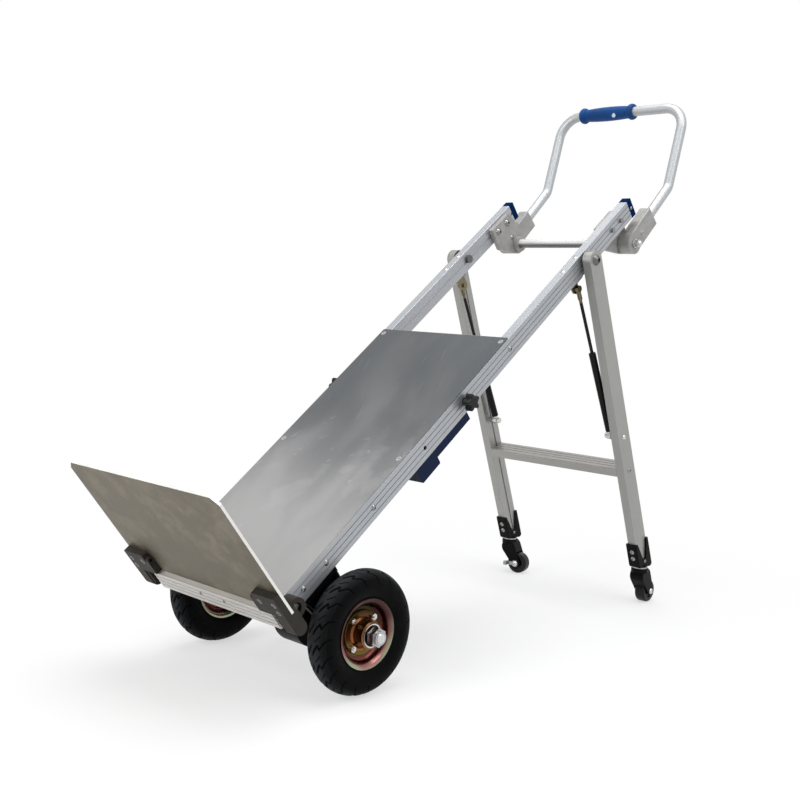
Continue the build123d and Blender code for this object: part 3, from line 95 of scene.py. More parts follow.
# Slopes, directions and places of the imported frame, in radians and metres
RAIL_SLOPE = math.radians(36.8)
LEG_SLOPE = math.radians(108.9)
HANDLE_SLOPE = math.radians(42.4)
SIDEWAYS: Triple = (1.0, 0.0, 0.0)
REARWARD: Triple = (0.0, 1.0, 0.0)
UP: Triple = (0.0, 0.0, 1.0)
UP_RAIL: Triple = (0.0, math.cos(RAIL_SLOPE), math.sin(RAIL_SLOPE))
DECK_UP: Triple = (0.0, -math.sin(RAIL_SLOPE), math.cos(RAIL_SLOPE))
SIDES = {"left": -1.0, "right": 1.0}
AXLE: Triple = (0.0, -0.348909, 0.110)
TRACK_HALF = 0.2005
TYRE_RADIUS = 0.110

# Where most values of a cloudy noise lie
NOISE_SPAN: Pair = (0.3, 0.7)

WHITE: Color = (1.0, 1.0, 1.0)


class Grain(Enum):
    """The way that drawn or rolled lines run, as a turn that lays them along Y."""

    ACROSS = (0.0, 0.0, -math.pi / 2)
    RAIL = (RAIL_SLOPE, 0.0, 0.0)
    LEG = (LEG_SLOPE, 0.0, 0.0)
    HANDLE = (HANDLE_SLOPE, 0.0, 0.0)


class NodeTree:
    """A node tree, with short calls for the nodes that materials and the surround share."""

    def __init__(self, tree: bpy.types.NodeTree) -> None:
        """Keep the tree.

        Args:
            tree: The tree that nodes are added to.
        """
        self.tree = tree

    def node(self, kind: str, **inputs: object) -> bpy.types.Node:
        """Add a node and fill its inputs with values or links.

        Args:
            kind: The node's type.
            inputs: Values or sockets by input name, with _ for a space.

        Returns:
            The new node.
        """
        made = self.tree.nodes.new(kind)
        for key, value in inputs.items():
            self.feed(made.inputs[key.replace("_", " ")], value)
        return made

    def feed(self, socket: Socket, value: object) -> None:
        """Link a socket to another, or set its value.

        Args:
            socket: The input to fill.
            value: An output socket, a number or a tuple.
        """
        if isinstance(value, Socket):
            self.tree.links.new(value, socket)
        else:
            socket.default_value = value

    def coords(self, output: str) -> Socket:
        """One of the texture coordinates.

        Args:
            output: The coordinate's name.

        Returns:
            The vector socket.
        """
        return self.tree.nodes.new("ShaderNodeTexCoord").outputs[output]

    def dot(self, vector: Socket, axis: Triple) -> Socket:
        """How far a vector goes along an axis.

        Args:
            vector: The vector socket.
            axis: The axis.

        Returns:
            The value socket.
        """
        made = self.tree.nodes.new("ShaderNodeVectorMath")
        made.operation = "DOT_PRODUCT"
        self.feed(made.inputs[0], vector)
        made.inputs[1].default_value = axis
        return made.outputs["Value"]

    def length(self, vector: Socket) -> Socket:
        """The length of a vector.

        Args:
            vector: The vector socket.

        Returns:
            The value socket.
        """
        made = self.tree.nodes.new("ShaderNodeVectorMath")
        made.operation = "LENGTH"
        self.feed(made.inputs[0], vector)
        return made.outputs["Value"]

    def span(self, value: Socket, low: float, high: float, first: float = 0.0, last: float = 1.0) -> Socket:
        """Carry one range of a value smoothly to another range.

        Args:
            value: The value socket.
            low: Where the range starts.
            high: Where the range ends.
            first: Result at the start.
            last: Result at the end.

        Returns:
            The value socket.
        """
        made = self.tree.nodes.new("ShaderNodeMapRange")
        made.interpolation_type = "SMOOTHSTEP"
        names = ("Value", "From Min", "From Max", "To Min", "To Max")
        for name, part in zip(names, (value, low, high, first, last)):
            self.feed(made.inputs[name], part)
        return made.outputs["Result"]

    def past(self, value: Socket, place: float, border: float = 0.0003) -> Socket:
        """0 before a place and 1 past it, with a narrow border between.

        Args:
            value: The value socket.
            place: Where it changes.
            border: Half of the border's width.

        Returns:
            The value socket.
        """
        return self.span(value, place - border, place + border)

    def maths(self, operation: str, first: object, second: object = 0.0) -> Socket:
        """One sum on one or two values.

        Args:
            operation: The sum's name.
            first: A socket or a number.
            second: A socket or a number, where the sum has a second value.

        Returns:
            The value socket.
        """
        made = self.tree.nodes.new("ShaderNodeMath")
        made.operation = operation
        self.feed(made.inputs[0], first)
        self.feed(made.inputs[1], second)
        return made.outputs["Value"]

    def shows(self) -> Socket:
        """1 for what the camera sees straight, in a gloss or through glass, and 0 for light on the object.

        Returns:
            The value socket.
        """
        path = self.node("ShaderNodeLightPath").outputs
        mirrored = self.maths("MAXIMUM", path["Is Glossy Ray"], path["Is Transmission Ray"])
        return self.maths("MAXIMUM", path["Is Camera Ray"], mirrored)


class Shader(NodeTree):
    """A material's node tree, with calls for patterns on Object coordinates."""

    def __init__(self, name: str) -> None:
        """Start a material with one Principled shader.

        Args:
            name: The material's name.
        """
        self.material = bpy.data.materials.new(name)
        self.material.use_nodes = True
        super().__init__(self.material.node_tree)
        self.base = self.tree.nodes["Principled BSDF"]

    def shade(self, **inputs: object) -> None:
        """Fill inputs of the Principled shader.

        Args:
            inputs: Values or sockets by input name, with _ for a space.
        """
        for key, value in inputs.items():
            self.feed(self.base.inputs[key.replace("_", " ")], value)

    def offset(self, centre: Triple, keep: Triple = (1, 1, 1)) -> Socket:
        """Object coordinates measured from a centre, along the axes that are kept.

        Args:
            centre: The centre.
            keep: 1 for each axis that counts, 0 for the others.

        Returns:
            The vector socket.
        """
        moved = self.tree.nodes.new("ShaderNodeVectorMath")
        moved.operation = "SUBTRACT"
        self.feed(moved.inputs[0], self.coords("Object"))
        moved.inputs[1].default_value = centre
        masked = self.tree.nodes.new("ShaderNodeVectorMath")
        masked.operation = "MULTIPLY"
        self.feed(masked.inputs[0], moved.outputs["Vector"])
        masked.inputs[1].default_value = keep
        return masked.outputs["Vector"]

    def from_axle(self) -> Socket:
        """Object coordinates measured from the axle's line, in the plane of the wheels."""
        return self.offset(AXLE, (0, 1, 1))

    def place(self, turn: Triple = (0, 0, 0), stretch: Triple = (1, 1, 1)) -> Socket:
        """Object coordinates, turned back by an angle and then drawn out.

        Args:
            turn: Euler angles of the pattern.
            stretch: How far the pattern is drawn out along its own axes.

        Returns:
            The vector socket.
        """
        mapping = self.tree.nodes.new("ShaderNodeMapping")
        mapping.vector_type = "TEXTURE"
        mapping.inputs["Rotation"].default_value = turn
        mapping.inputs["Scale"].default_value = stretch
        self.feed(mapping.inputs["Vector"], self.coords("Object"))
        return mapping.outputs["Vector"]

    def noise(self, vector: Socket, scale: float, detail: float = 4.0, rough: float = 0.5,
              swirl: float = 0.0) -> Socket:
        """Cloudy noise between 0 and 1.

        Args:
            vector: Where it is read.
            scale: Features per metre, about.
            detail: Octaves.
            rough: Weight of the finer octaves.
            swirl: Distortion.

        Returns:
            The value socket.
        """
        made = self.node("ShaderNodeTexNoise", Vector=vector, Scale=scale, Detail=detail, Roughness=rough,
                         Distortion=swirl)
        return made.outputs["Fac"]

    def mix(self, factor: object, first: object, second: object, mode: str = "MIX") -> Socket:
        """Mix two colours.

        Args:
            factor: Share of the second.
            first: A colour or a socket.
            second: A colour or a socket.
            mode: Blend mode.

        Returns:
            The colour socket.
        """
        made = self.tree.nodes.new("ShaderNodeMix")
        made.data_type = "RGBA"
        made.blend_type = mode
        self.feed(made.inputs["Factor"], factor)
        self.feed(made.inputs[6], rgba(first))
        self.feed(made.inputs[7], rgba(second))
        return made.outputs[2]

    def lay(self, tone: object, color: Color, cover: Socket, share: float) -> Socket:
        """Lay a colour over a tone where a pattern covers it.

        Args:
            tone: The colour below.
            color: The colour on top.
            cover: The pattern, from 0 to 1.
            share: How much of the colour shows where the pattern is full.

        Returns:
            The colour socket.
        """
        return self.mix(self.maths("MULTIPLY", cover, share), tone, color)

    def ramp(self, value: Socket, stops: Stops) -> Socket:
        """Colours along a value.

        Args:
            value: The value socket.
            stops: Places and colours.

        Returns:
            The colour socket.
        """
        made = self.node("ShaderNodeValToRGB", Fac=value)
        band = made.color_ramp
        while len(band.elements) < len(stops):
            band.elements.new(0.5)
        for element, (place, color) in zip(band.elements, stops):
            element.position = place
            element.color = (*color, 1.0)
        return made.outputs["Color"]

    def bump(self, height: Socket, strength: float, depth: float) -> None:
        """Raise the surface's shading by a height.

        Args:
            height: The height socket.
            strength: Between 0 and 1.
            depth: Depth in metres.
        """
        made = self.node("ShaderNodeBump", Height=height, Strength=strength, Distance=depth)
        self.shade(Normal=made.outputs["Normal"])


def rgba(value: object) -> object:
    """A colour with its alpha, or the value itself where it isn't a colour.

    Args:
        value: A colour of three numbers, or a socket.

    Returns:
        Four numbers, or the socket.
    """
    if isinstance(value, tuple) and len(value) == 3:
        return (*value, 1.0)
    return value


def toned(color: Color, factor: float) -> Color:
    """A colour made lighter or darker.

    Args:
        color: Linear colour.
        factor: Multiplier.

    Returns:
        The new colour.
    """
    return tuple(min(1.0, part * factor) for part in color)


@dataclass(frozen=True)
class Finish:
    """A surface finish. Each kind makes its own material."""

    name: str
    tint: Color
    rough: float

    def material(self) -> bpy.types.Material:
        """The finish's material, made once, under a name that none of the frame's own materials has.

        Returns:
            The material.
        """
        label = f"{self.name}_finish"
        known = bpy.data.materials.get(label)
        return known if known else self.make(Shader(label))

    def roughness(self, shader: Shader, pattern: Socket, less: float, more: float) -> Socket:
        """A roughness that follows a noise, from less than the finish's own to more.

        Args:
            shader: The new material.
            pattern: The noise.
            less: How much smoother it gets.
            more: How much rougher it gets.

        Returns:
            The value socket.
        """
        return shader.span(pattern, *NOISE_SPAN, self.rough - less, self.rough + more)

    def make(self, shader: Shader) -> bpy.types.Material:
        """Fill the material's nodes.

        Args:
            shader: The new material.

        Returns:
            The material.
        """
        raise NotImplementedError


@dataclass(frozen=True)
class DrawnAluminium(Finish):
    """Anodised extrusion or tube with faint lines along its length."""

    grain: Grain = Grain.RAIL
    line_scale: float = 1500.0
    metal: float = 0.75
    stain: float = 0.16
    # Share of painted shade laid on the faces that turn downwards
    painted_underside_shade: float = 0.0
    sunk: tuple[Triple, float] | None = None
    # How dark the painted shade on the grooves' floors is
    sunk_shade: float = 0.7
    sunk_border: Pair = (0.0003, 0.0006)

    def make(self, shader: Shader) -> bpy.types.Material:
        """Fine draw lines, broad tone changes, handling marks, painted shade on the grooves' floors and
        painted shade on the underside.

        The grooves' floors lie at one distance from the origin along an axis, on either side of it.

        Args:
            shader: The new material.

        Returns:
            The material.
        """
        turn = self.grain.value
        lines = shader.noise(shader.place(turn, (1, 220, 1)), self.line_scale, detail=2)
        broad = shader.noise(shader.place(turn, (1, 3, 1)), scale=14.0, rough=0.55, swirl=0.5)
        knocks = shader.noise(shader.place(turn, (1, 4, 1)), scale=75.0, detail=5, rough=0.7)
        marks = shader.span(knocks, 0.58, 0.74)
        tone = shader.mix(shader.span(lines, *NOISE_SPAN), toned(self.tint, 0.97), toned(self.tint, 1.03))
        tone = shader.mix(shader.span(broad, 0.38, 0.72, 0.0, self.stain), tone, toned(self.tint, 0.66))
        tone = shader.lay(tone, toned(self.tint, 0.55), marks, share=0.12)
        # Painted shade darkens the grooves' floors.
        if self.sunk:
            axis, floor = self.sunk
            across = shader.maths("ABSOLUTE", shader.dot(shader.coords("Object"), axis))
            off = shader.maths("ABSOLUTE", shader.maths("SUBTRACT", across, floor))
            painted_groove_shade = shader.span(off, *self.sunk_border, self.sunk_shade, 0.0)
            tone = shader.mix(painted_groove_shade, tone, toned(self.tint, 0.4))
        # Painted shade darkens the faces that turn downwards.
        if self.painted_underside_shade:
            facing = shader.dot(shader.coords("Normal"), UP)
            underside_shade_mask = shader.span(facing, -0.45, 0.25, self.painted_underside_shade, 0.0)
            tone = shader.mix(underside_shade_mask, tone, toned(self.tint, 0.12))
        rough = self.roughness(shader, lines, less=0.015, more=0.015)
        rough = shader.maths("ADD", rough, shader.maths("MULTIPLY", marks, 0.08))
        shader.shade(Base_Color=tone, Roughness=rough, Metallic=self.metal)
        shader.bump(lines, strength=0.012, depth=0.0002)
        return shader.material


@dataclass(frozen=True)
class RolledSheet(Finish):
    """Mill-finish sheet, scuffed, with painted light that makes it paler towards its loaded end."""

    metal: float = 0.85
    # The pale tone of the scuffs, and of the painted light towards the low end
    light: Color = (0.40, 0.395, 0.395)
    low_end: Triple = (0.0, -0.42, 0.25)
    painted_light_run: Pair = (-0.12, 0.56)
    scuff_rise: Pair = (-0.10, 0.06)
    scuff_fall: Pair = (0.20, 0.42)

    def make(self, shader: Shader) -> bpy.types.Material:
        """Painted light towards the toe end, soft white scuffs below the middle, smears, specks and a few
        scratches.

        Args:
            shader: The new material.

        Returns:
            The material.
        """
        wipes = shader.place((RAIL_SLOPE, 0.0, 0.25), (1, 2.2, 1))
        smear = shader.noise(wipes, scale=9.0, detail=3, rough=0.4, swirl=0.3)
        drifts = shader.place((RAIL_SLOPE, 0.0, -0.35), (1, 1.4, 1))
        cloud = shader.noise(drifts, scale=13.0, detail=6, rough=0.55, swirl=0.5)
        specks = shader.noise(shader.place(Grain.RAIL.value), scale=120.0, detail=5, rough=0.7)
        nicks = shader.place((RAIL_SLOPE, 0.0, -0.7), (1, 1.8, 1))
        flecks = shader.noise(nicks, scale=52.0, detail=3, rough=0.6)
        slant = shader.place((RAIL_SLOPE, 0.0, 0.42), (1, 60, 1))
        scratch = shader.span(shader.noise(slant, scale=200.0, detail=1), 0.75, 0.78)
        up_rail = shader.dot(shader.offset(self.low_end), UP_RAIL)
        # Painted light: the sheet is painted paler towards its low end, standing in for a reflection there.
        painted_light = shader.span(up_rail, *self.painted_light_run, 1.0, 0.0)
        rise = shader.span(up_rail, *self.scuff_rise)
        fall = shader.span(up_rail, *self.scuff_fall, 1.0, 0.0)
        worn = shader.maths("MULTIPLY", rise, fall)
        scuff = shader.maths("MULTIPLY", worn, shader.span(cloud, 0.55, 0.63))
        chips = shader.maths("MULTIPLY", worn, shader.span(flecks, 0.66, 0.70))
        cover = shader.maths("ADD", painted_light, shader.span(smear, *NOISE_SPAN, -0.13, 0.13))
        tone = shader.mix(shader.span(cover, -0.05, 1.05), self.tint, self.light)
        tone = shader.lay(tone, toned(self.light, 1.2), scuff, share=0.13)
        tone = shader.lay(tone, toned(self.light, 1.2), chips, share=0.3)
        tone = shader.mix(shader.span(specks, 0.68, 0.8, 0.0, 0.22), tone, toned(self.tint, 0.7))
        tone = shader.lay(tone, toned(self.light, 1.2), scratch, share=0.12)
        rough = shader.span(cover, 0.0, 1.0, self.rough - 0.04, self.rough + 0.08)
        rough = shader.maths("ADD", rough, shader.maths("MULTIPLY", scuff, 0.06))
        shader.shade(Base_Color=tone, Roughness=rough, Metallic=self.metal)
        shader.bump(smear, strength=0.012, depth=0.004)
        return shader.material


@dataclass(frozen=True)
class WeatheredPlate(Finish):
    """Oxidised plate, mottled on its faces and bright where its edges are cut."""

    metal: float = 0.7
    pale: Color = (0.228, 0.203, 0.158)
    edge: Color = (0.80, 0.79, 0.76)

    def make(self, shader: Shader) -> bpy.types.Material:
        """Cloudy mottling on the faces, told from the cut edges by the surface's own normal.

        Args:
            shader: The new material.

        Returns:
            The material.
        """
        flat = shader.place(Grain.RAIL.value)
        cloud = shader.noise(flat, scale=24.0, detail=8, rough=0.66, swirl=0.4)
        patch = shader.noise(flat, scale=8.0, rough=0.55, swirl=0.6)
        grit = shader.noise(flat, scale=420.0, detail=2)
        slant = shader.place((RAIL_SLOPE, 0.0, 1.1), (1, 30, 1))
        scuff = shader.span(shader.noise(slant, scale=190.0, detail=2), 0.66, 0.74)
        tone = shader.mix(shader.span(cloud, 0.38, 0.66), self.tint, self.pale)
        tone = shader.mix(shader.span(patch, 0.4, 0.7, 0.0, 0.45), tone, toned(self.tint, 0.82))
        tone = shader.mix(shader.span(grit, 0.6, 0.75, 0.0, 0.2), tone, toned(self.pale, 1.15))
        tone = shader.lay(tone, toned(self.pale, 1.3), scuff, share=0.05)
        facing = shader.dot(shader.coords("Normal"), UP_RAIL)
        face = shader.span(shader.maths("ABSOLUTE", facing), 0.5, 0.9)
        tone = shader.mix(face, self.edge, tone)
        rough = self.roughness(shader, cloud, less=0.06, more=0.1)
        shader.shade(Base_Color=tone, Roughness=rough, Metallic=self.metal)
        shader.bump(shader.maths("ADD", cloud, grit), strength=0.10, depth=0.0003)
        return shader.material


@dataclass(frozen=True)
class Casting(Finish):
    """Blasted or coated casting with a fine sandy skin."""

    metal: float = 0.5
    grain_scale: float = 800.0
    shine: float = 0.5
    bare_above: float | None = None
    bare_tint: Color = (0.45, 0.45, 0.45)

    def make(self, shader: Shader) -> bpy.types.Material:
        """Fine grain, soft tone changes and rubbed wear, and bare metal above a height where one is given.

        Args:
            shader: The new material.

        Returns:
            The material.
        """
        grain = shader.noise(shader.place(), self.grain_scale, detail=3, rough=0.6)
        cloud = shader.noise(shader.place(), scale=40.0, detail=5, rough=0.6)
        tone = shader.mix(shader.span(cloud, 0.35, 0.7), toned(self.tint, 0.84), toned(self.tint, 1.08))
        tone = shader.mix(shader.span(grain, 0.6, 0.8, 0.0, 0.25), tone, toned(self.tint, 1.35))
        rough = self.roughness(shader, cloud, less=0.06, more=0.08)
        shader.shade(Base_Color=tone, Roughness=rough, Metallic=self.metal, Specular_IOR_Level=self.shine)
        if self.bare_above is not None:
            bare = shader.past(shader.dot(shader.coords("Object"), UP), self.bare_above)
            shader.shade(Base_Color=shader.mix(bare, tone, self.bare_tint), Metallic=bare)
        shader.bump(grain, strength=0.15, depth=0.0003)
        return shader.material


@dataclass(frozen=True)
class Moulding(Finish):
    """Moulded plastic with a faint texture and handling sheen."""

    grain_scale: float = 900.0
    texture: float = 0.10
    shine: float = 0.3

    def make(self, shader: Shader) -> bpy.types.Material:
        """A fine leathery texture and slow changes of gloss.

        Args:
            shader: The new material.

        Returns:
            The material.
        """
        grain = shader.noise(shader.place(), self.grain_scale, detail=2)
        cloud = shader.noise(shader.place(), scale=26.0, detail=5, rough=0.6, swirl=0.5)
        tone = shader.mix(shader.span(cloud, *NOISE_SPAN), toned(self.tint, 0.84), toned(self.tint, 1.14))
        rough = self.roughness(shader, cloud, less=0.07, more=0.08)
        shader.shade(Base_Color=tone, Roughness=rough, Specular_IOR_Level=self.shine)
        shader.bump(grain, strength=self.texture, depth=0.0002)
        return shader.material


@dataclass(frozen=True)
class Plating(Finish):
    """Plated or turned steel, which may change colour past a place along an axis."""

    second: Color | None = None
    axis: Triple = UP
    start: Triple = (0.0, 0.0, 0.0)
    border: float = 0.0005
    wear: float = 0.1
    wear_tint: Color = (0.3, 0.3, 0.3)

    def make(self, shader: Shader) -> bpy.types.Material:
        """Small tone changes with a fine grain, and the second colour past its place.

        Args:
            shader: The new material.

        Returns:
            The material.
        """
        cloud = shader.noise(shader.place(), scale=160.0, rough=0.6)
        fine = shader.noise(shader.place(), scale=1600.0, detail=2)
        tint = self.tint
        if self.second:
            beyond = shader.past(shader.dot(shader.offset(self.start), self.axis), 0.0, self.border)
            tint = shader.mix(beyond, self.tint, self.second)
        tone = shader.mix(shader.span(cloud, 0.4, 0.75, 0.0, self.wear), tint, self.wear_tint, "MULTIPLY")
        rough = self.roughness(shader, cloud, less=0.04, more=0.06)
        shader.shade(Base_Color=tone, Roughness=rough, Metallic=1.0)
        shader.bump(fine, strength=0.006, depth=0.0001)
        return shader.material


@dataclass(frozen=True)
class PassivatedZinc(Finish):
    """Yellow passivated zinc, whose film drifts between brown, gold, red, rose and green."""

    metal: float = 0.95
    drip: Triple = (0.0, -0.55, 0.83)
    drip_reach: Pair = (-0.06, 0.06)
    film_reach: Pair = (0.018, 0.066)
    shade_heights: Pair = (-0.060, 0.048)
    painted_shade_levels: Pair = (0.95, 0.2)
    film_colors: Stops = (
        (0.0, (0.36, 0.145, 0.055)), (0.13, (0.38, 0.155, 0.055)), (0.22, (0.155, 0.10, 0.024)),
        (0.42, (0.145, 0.112, 0.027)), (0.52, (0.11, 0.034, 0.024)), (0.74, (0.18, 0.055, 0.05)),
        (0.88, (0.33, 0.155, 0.148)), (1.0, (0.33, 0.38, 0.25)),
    )

    def make(self, shader: Shader) -> bpy.types.Material:
        """Film colours by the distance from the axle, drifting across the wheel, with painted shade that
        darkens it towards its top.

        Args:
            shader: The new material.

        Returns:
            The material.
        """
        away = shader.from_axle()
        film = shader.noise(shader.place(), scale=16.0, detail=2, rough=0.4, swirl=0.6)
        cloud = shader.noise(shader.place(), scale=90.0, rough=0.6)
        rings = shader.span(shader.length(away), *self.film_reach, 0.04, 0.96)
        slope = shader.span(shader.dot(away, self.drip), *self.drip_reach, 0.10, -0.10)
        drift = shader.maths("ADD", rings, slope)
        drift = shader.maths("ADD", drift, shader.span(film, 0.25, 0.75, -0.10, 0.10))
        tone = shader.ramp(drift, self.film_colors)
        tone = shader.mix(shader.span(cloud, 0.5, 0.8, 0.0, 0.12), tone, self.tint)
        # Painted shade: the film is darkened towards the wheel's top.
        shade = shader.span(shader.dot(away, UP), *self.shade_heights, *self.painted_shade_levels)
        level = shader.node("ShaderNodeCombineColor", Red=shade, Green=shade, Blue=shade)
        tone = shader.mix(1.0, tone, level.outputs["Color"], "MULTIPLY")
        rough = self.roughness(shader, cloud, less=0.03, more=0.06)
        shader.shade(Base_Color=tone, Roughness=rough, Metallic=self.metal)
        shader.bump(film, strength=0.02, depth=0.001)
        return shader.material


@dataclass(frozen=True)
class SealedRing(Finish):
    """A bearing's bright ring round a black seal."""

    seal: Color = (0.006, 0.006, 0.006)
    seal_radius: float = 0.0186
    seal_rough: float = 0.6
    shine: float = 0.15

    def make(self, shader: Shader) -> bpy.types.Material:
        """Bright ground steel outside the seal's radius, and matt black rubber inside it.

        Args:
            shader: The new material.

        Returns:
            The material.
        """
        ring = shader.past(shader.length(shader.from_axle()), self.seal_radius)
        dust = shader.noise(shader.place(), scale=300.0, rough=0.6)
        seal = shader.mix(shader.span(dust, 0.5, 0.8, 0.0, 0.5), self.seal, toned(self.seal, 3.0))
        rough = shader.span(ring, 0.0, 1.0, self.seal_rough, self.rough)
        shader.shade(Base_Color=shader.mix(ring, seal, self.tint), Metallic=ring)
        shader.shade(Roughness=rough, Specular_IOR_Level=self.shine)
        return shader.material


@dataclass(frozen=True)
class Rubber(Finish):
    """Black rubber with a dusty bloom, and a greyer tread if it is a tyre's."""

    dust: Color = (0.011, 0.011, 0.0115)
    shine: float = 0.03
    # The worn tone is partly wear and partly painted light on the tread's tops
    worn: Color | None = None
    camber: float = 20.4
    groove_shade_depths: Pair = (0.0022, 0.0006)
    shoulder: Pair = (0.006, 0.0215)
    shoulder_grey_share: float = 0.15

    def make(self, shader: Shader) -> bpy.types.Material:
        """A matt skin with faint dust in patches, and greyer tops of the tread's blocks, partly wear and
        partly painted light, with painted shade in the grooves.

        The tread's top lies at the tyre's radius less the camber times the square of the place across. The
        grey goes from full at the crown to a trace at the shoulder.

        Args:
            shader: The new material.

        Returns:
            The material.
        """
        cloud = shader.noise(shader.place(), scale=34.0, detail=6, rough=0.65, swirl=0.4)
        skin = shader.noise(shader.place(), scale=1100.0, detail=3)
        tone = shader.mix(shader.span(cloud, 0.5, 0.8, 0.0, 0.5), self.tint, self.dust)
        # Greyer tread tops, partly wear and partly painted light, leave painted shade in the grooves below
        # them.
        if self.worn:
            sideways = shader.maths("ABSOLUTE", shader.dot(shader.coords("Object"), SIDEWAYS))
            across = shader.maths("SUBTRACT", sideways, TRACK_HALF)
            bow = shader.maths("MULTIPLY", shader.maths("MULTIPLY", across, across), self.camber)
            lift = shader.maths("ADD", shader.length(shader.from_axle()), bow)
            top = shader.span(lift, *(TYRE_RADIUS - depth for depth in self.groove_shade_depths))
            fade = shader.span(shader.maths("ABSOLUTE", across), *self.shoulder, 1.0, self.shoulder_grey_share)
            tone = shader.mix(shader.maths("MULTIPLY", top, fade), tone, self.worn)
        rough = self.roughness(shader, cloud, less=0.1, more=0.1)
        shader.shade(Base_Color=tone, Roughness=rough, Specular_IOR_Level=self.shine)
        shader.bump(skin, strength=0.06, depth=0.0003)
        return shader.material


# Where a finish changes along a piece, and how far along an axis the floors of grooves lie
BELOW_RAIL_TOP: Triple = (0.0, -0.50963, 0.17460)
STRUT_UP: Triple = (0.0, -0.40018, 0.91642)
STRUT_FITTING: Triple = (0.0, 0.30000, 0.67100)
STRUT_EYE: Triple = (0.0, 0.42065, 0.39516)
FORK_TOP = 0.0812
RAIL_SIDE_GROOVES: tuple[Triple, float] = (SIDEWAYS, 0.1702)
FRONT_BAR_GROOVES: tuple[Triple, float] = (UP_RAIL, 0.31669)

RAIL_ALLOY = DrawnAluminium("rail_alloy", (0.415, 0.43, 0.452), 0.40, sunk=RAIL_SIDE_GROOVES)
CROSS_ALLOY = DrawnAluminium("cross_alloy", (0.595, 0.574, 0.54), 0.44, Grain.ACROSS, metal=0.25, stain=0.3,
                             sunk=FRONT_BAR_GROOVES)
LEG_BAR_ALLOY = DrawnAluminium("leg_bar_alloy", (0.357, 0.349, 0.332), 0.40, Grain.ACROSS)
LEG_ALLOY = DrawnAluminium("leg_alloy", (0.352, 0.35, 0.337), 0.42, Grain.LEG)
TUBE_ALLOY = DrawnAluminium("tube_alloy", (0.44, 0.455, 0.465), 0.42, Grain.HANDLE, line_scale=700.0,
                            metal=0.6, stain=0.05)
SHAFT_ALLOY = DrawnAluminium("shaft_alloy", (0.79, 0.782, 0.778), 0.32, Grain.ACROSS, line_scale=700.0,
                             metal=0.2, stain=0.05, painted_underside_shade=0.95)
DECK_SHEET = RolledSheet("deck_sheet", (0.104, 0.112, 0.119), 0.36)
TOE_SHEET = WeatheredPlate("toe_sheet", (0.138, 0.117, 0.082), 0.48)
PALE_CASTING = Casting("pale_casting", (0.35, 0.345, 0.335), 0.5, metal=0.3)
DARK_CASTING = Casting("dark_casting", (0.038, 0.033, 0.028), 0.5, metal=0.0, shine=0.1)
BLACK_COAT = Casting("black_coat", (0.004, 0.004, 0.0043), 0.36, metal=0.0, shine=0.07)
FORK_COAT = Casting("fork_coat", (0.004, 0.004, 0.0043), 0.34, metal=0.0, shine=0.07, bare_above=FORK_TOP)
CYLINDER_COAT = Plating("cylinder_coat", (0.62, 0.62, 0.61), 0.30, second=(0.016, 0.016, 0.017),
                        axis=STRUT_UP, start=STRUT_EYE)
BLUE_MOULDING = Moulding("blue_moulding", (0.006, 0.054, 0.205), 0.5, shine=0.15)
CAP_MOULDING = Moulding("cap_moulding", (0.003, 0.020, 0.082), 0.75, shine=0.0)
NAVY_MOULDING = Moulding("navy_moulding", (0.0025, 0.011, 0.042), 0.46, shine=0.12)
BLACK_MOULDING = Moulding("black_moulding", (0.0045, 0.0045, 0.005), 0.34, texture=0.06, shine=0.25)
PALE_MOULDING = Moulding("pale_moulding", (0.66, 0.70, 0.76), 0.3, grain_scale=600.0, texture=0.04, shine=0.5)
BRIGHT_STEEL = Plating("bright_steel", (0.60, 0.60, 0.595), 0.24)
DOME_STEEL = Plating("dome_steel", (0.27, 0.27, 0.275), 0.2)
# Painted light: the frame screws are paler above the rails' top faces and darker below, lit and shaded copies
# of one steel.
RAIL_SCREW_STEEL = Plating("rail_screw_steel", (0.27, 0.27, 0.275), 0.2, second=(0.50, 0.50, 0.50),
                           axis=DECK_UP, start=BELOW_RAIL_TOP)
NUT_STEEL = Plating("nut_steel", (0.42, 0.42, 0.43), 0.24, wear=0.05)
PIVOT_STEEL = Plating("pivot_steel", (0.08, 0.075, 0.07), 0.32, second=(0.15, 0.15, 0.15), axis=REARWARD)
PAD_STEEL = Plating("pad_steel", (0.20, 0.195, 0.19), 0.30)
GREY_STEEL = Plating("grey_steel", (0.34, 0.34, 0.35), 0.32)
ROD_STEEL = Plating("rod_steel", (0.022, 0.022, 0.023), 0.25, second=(0.17, 0.145, 0.085),
                    axis=STRUT_UP, start=STRUT_FITTING)
OLIVE_ZINC = Plating("olive_zinc", (0.20, 0.175, 0.11), 0.38)
FILM_ZINC = PassivatedZinc("film_zinc", (0.40, 0.25, 0.10), 0.22)
BEARING_STEEL = SealedRing("bearing_steel", (0.62, 0.62, 0.62), 0.28)
TYRE_RUBBER = Rubber("tyre_rubber", (0.0036, 0.0037, 0.0041), 0.46, worn=(0.030, 0.032, 0.034))
ROLLER_RUBBER = Rubber("roller_rubber", (0.010, 0.010, 0.010), 0.62)


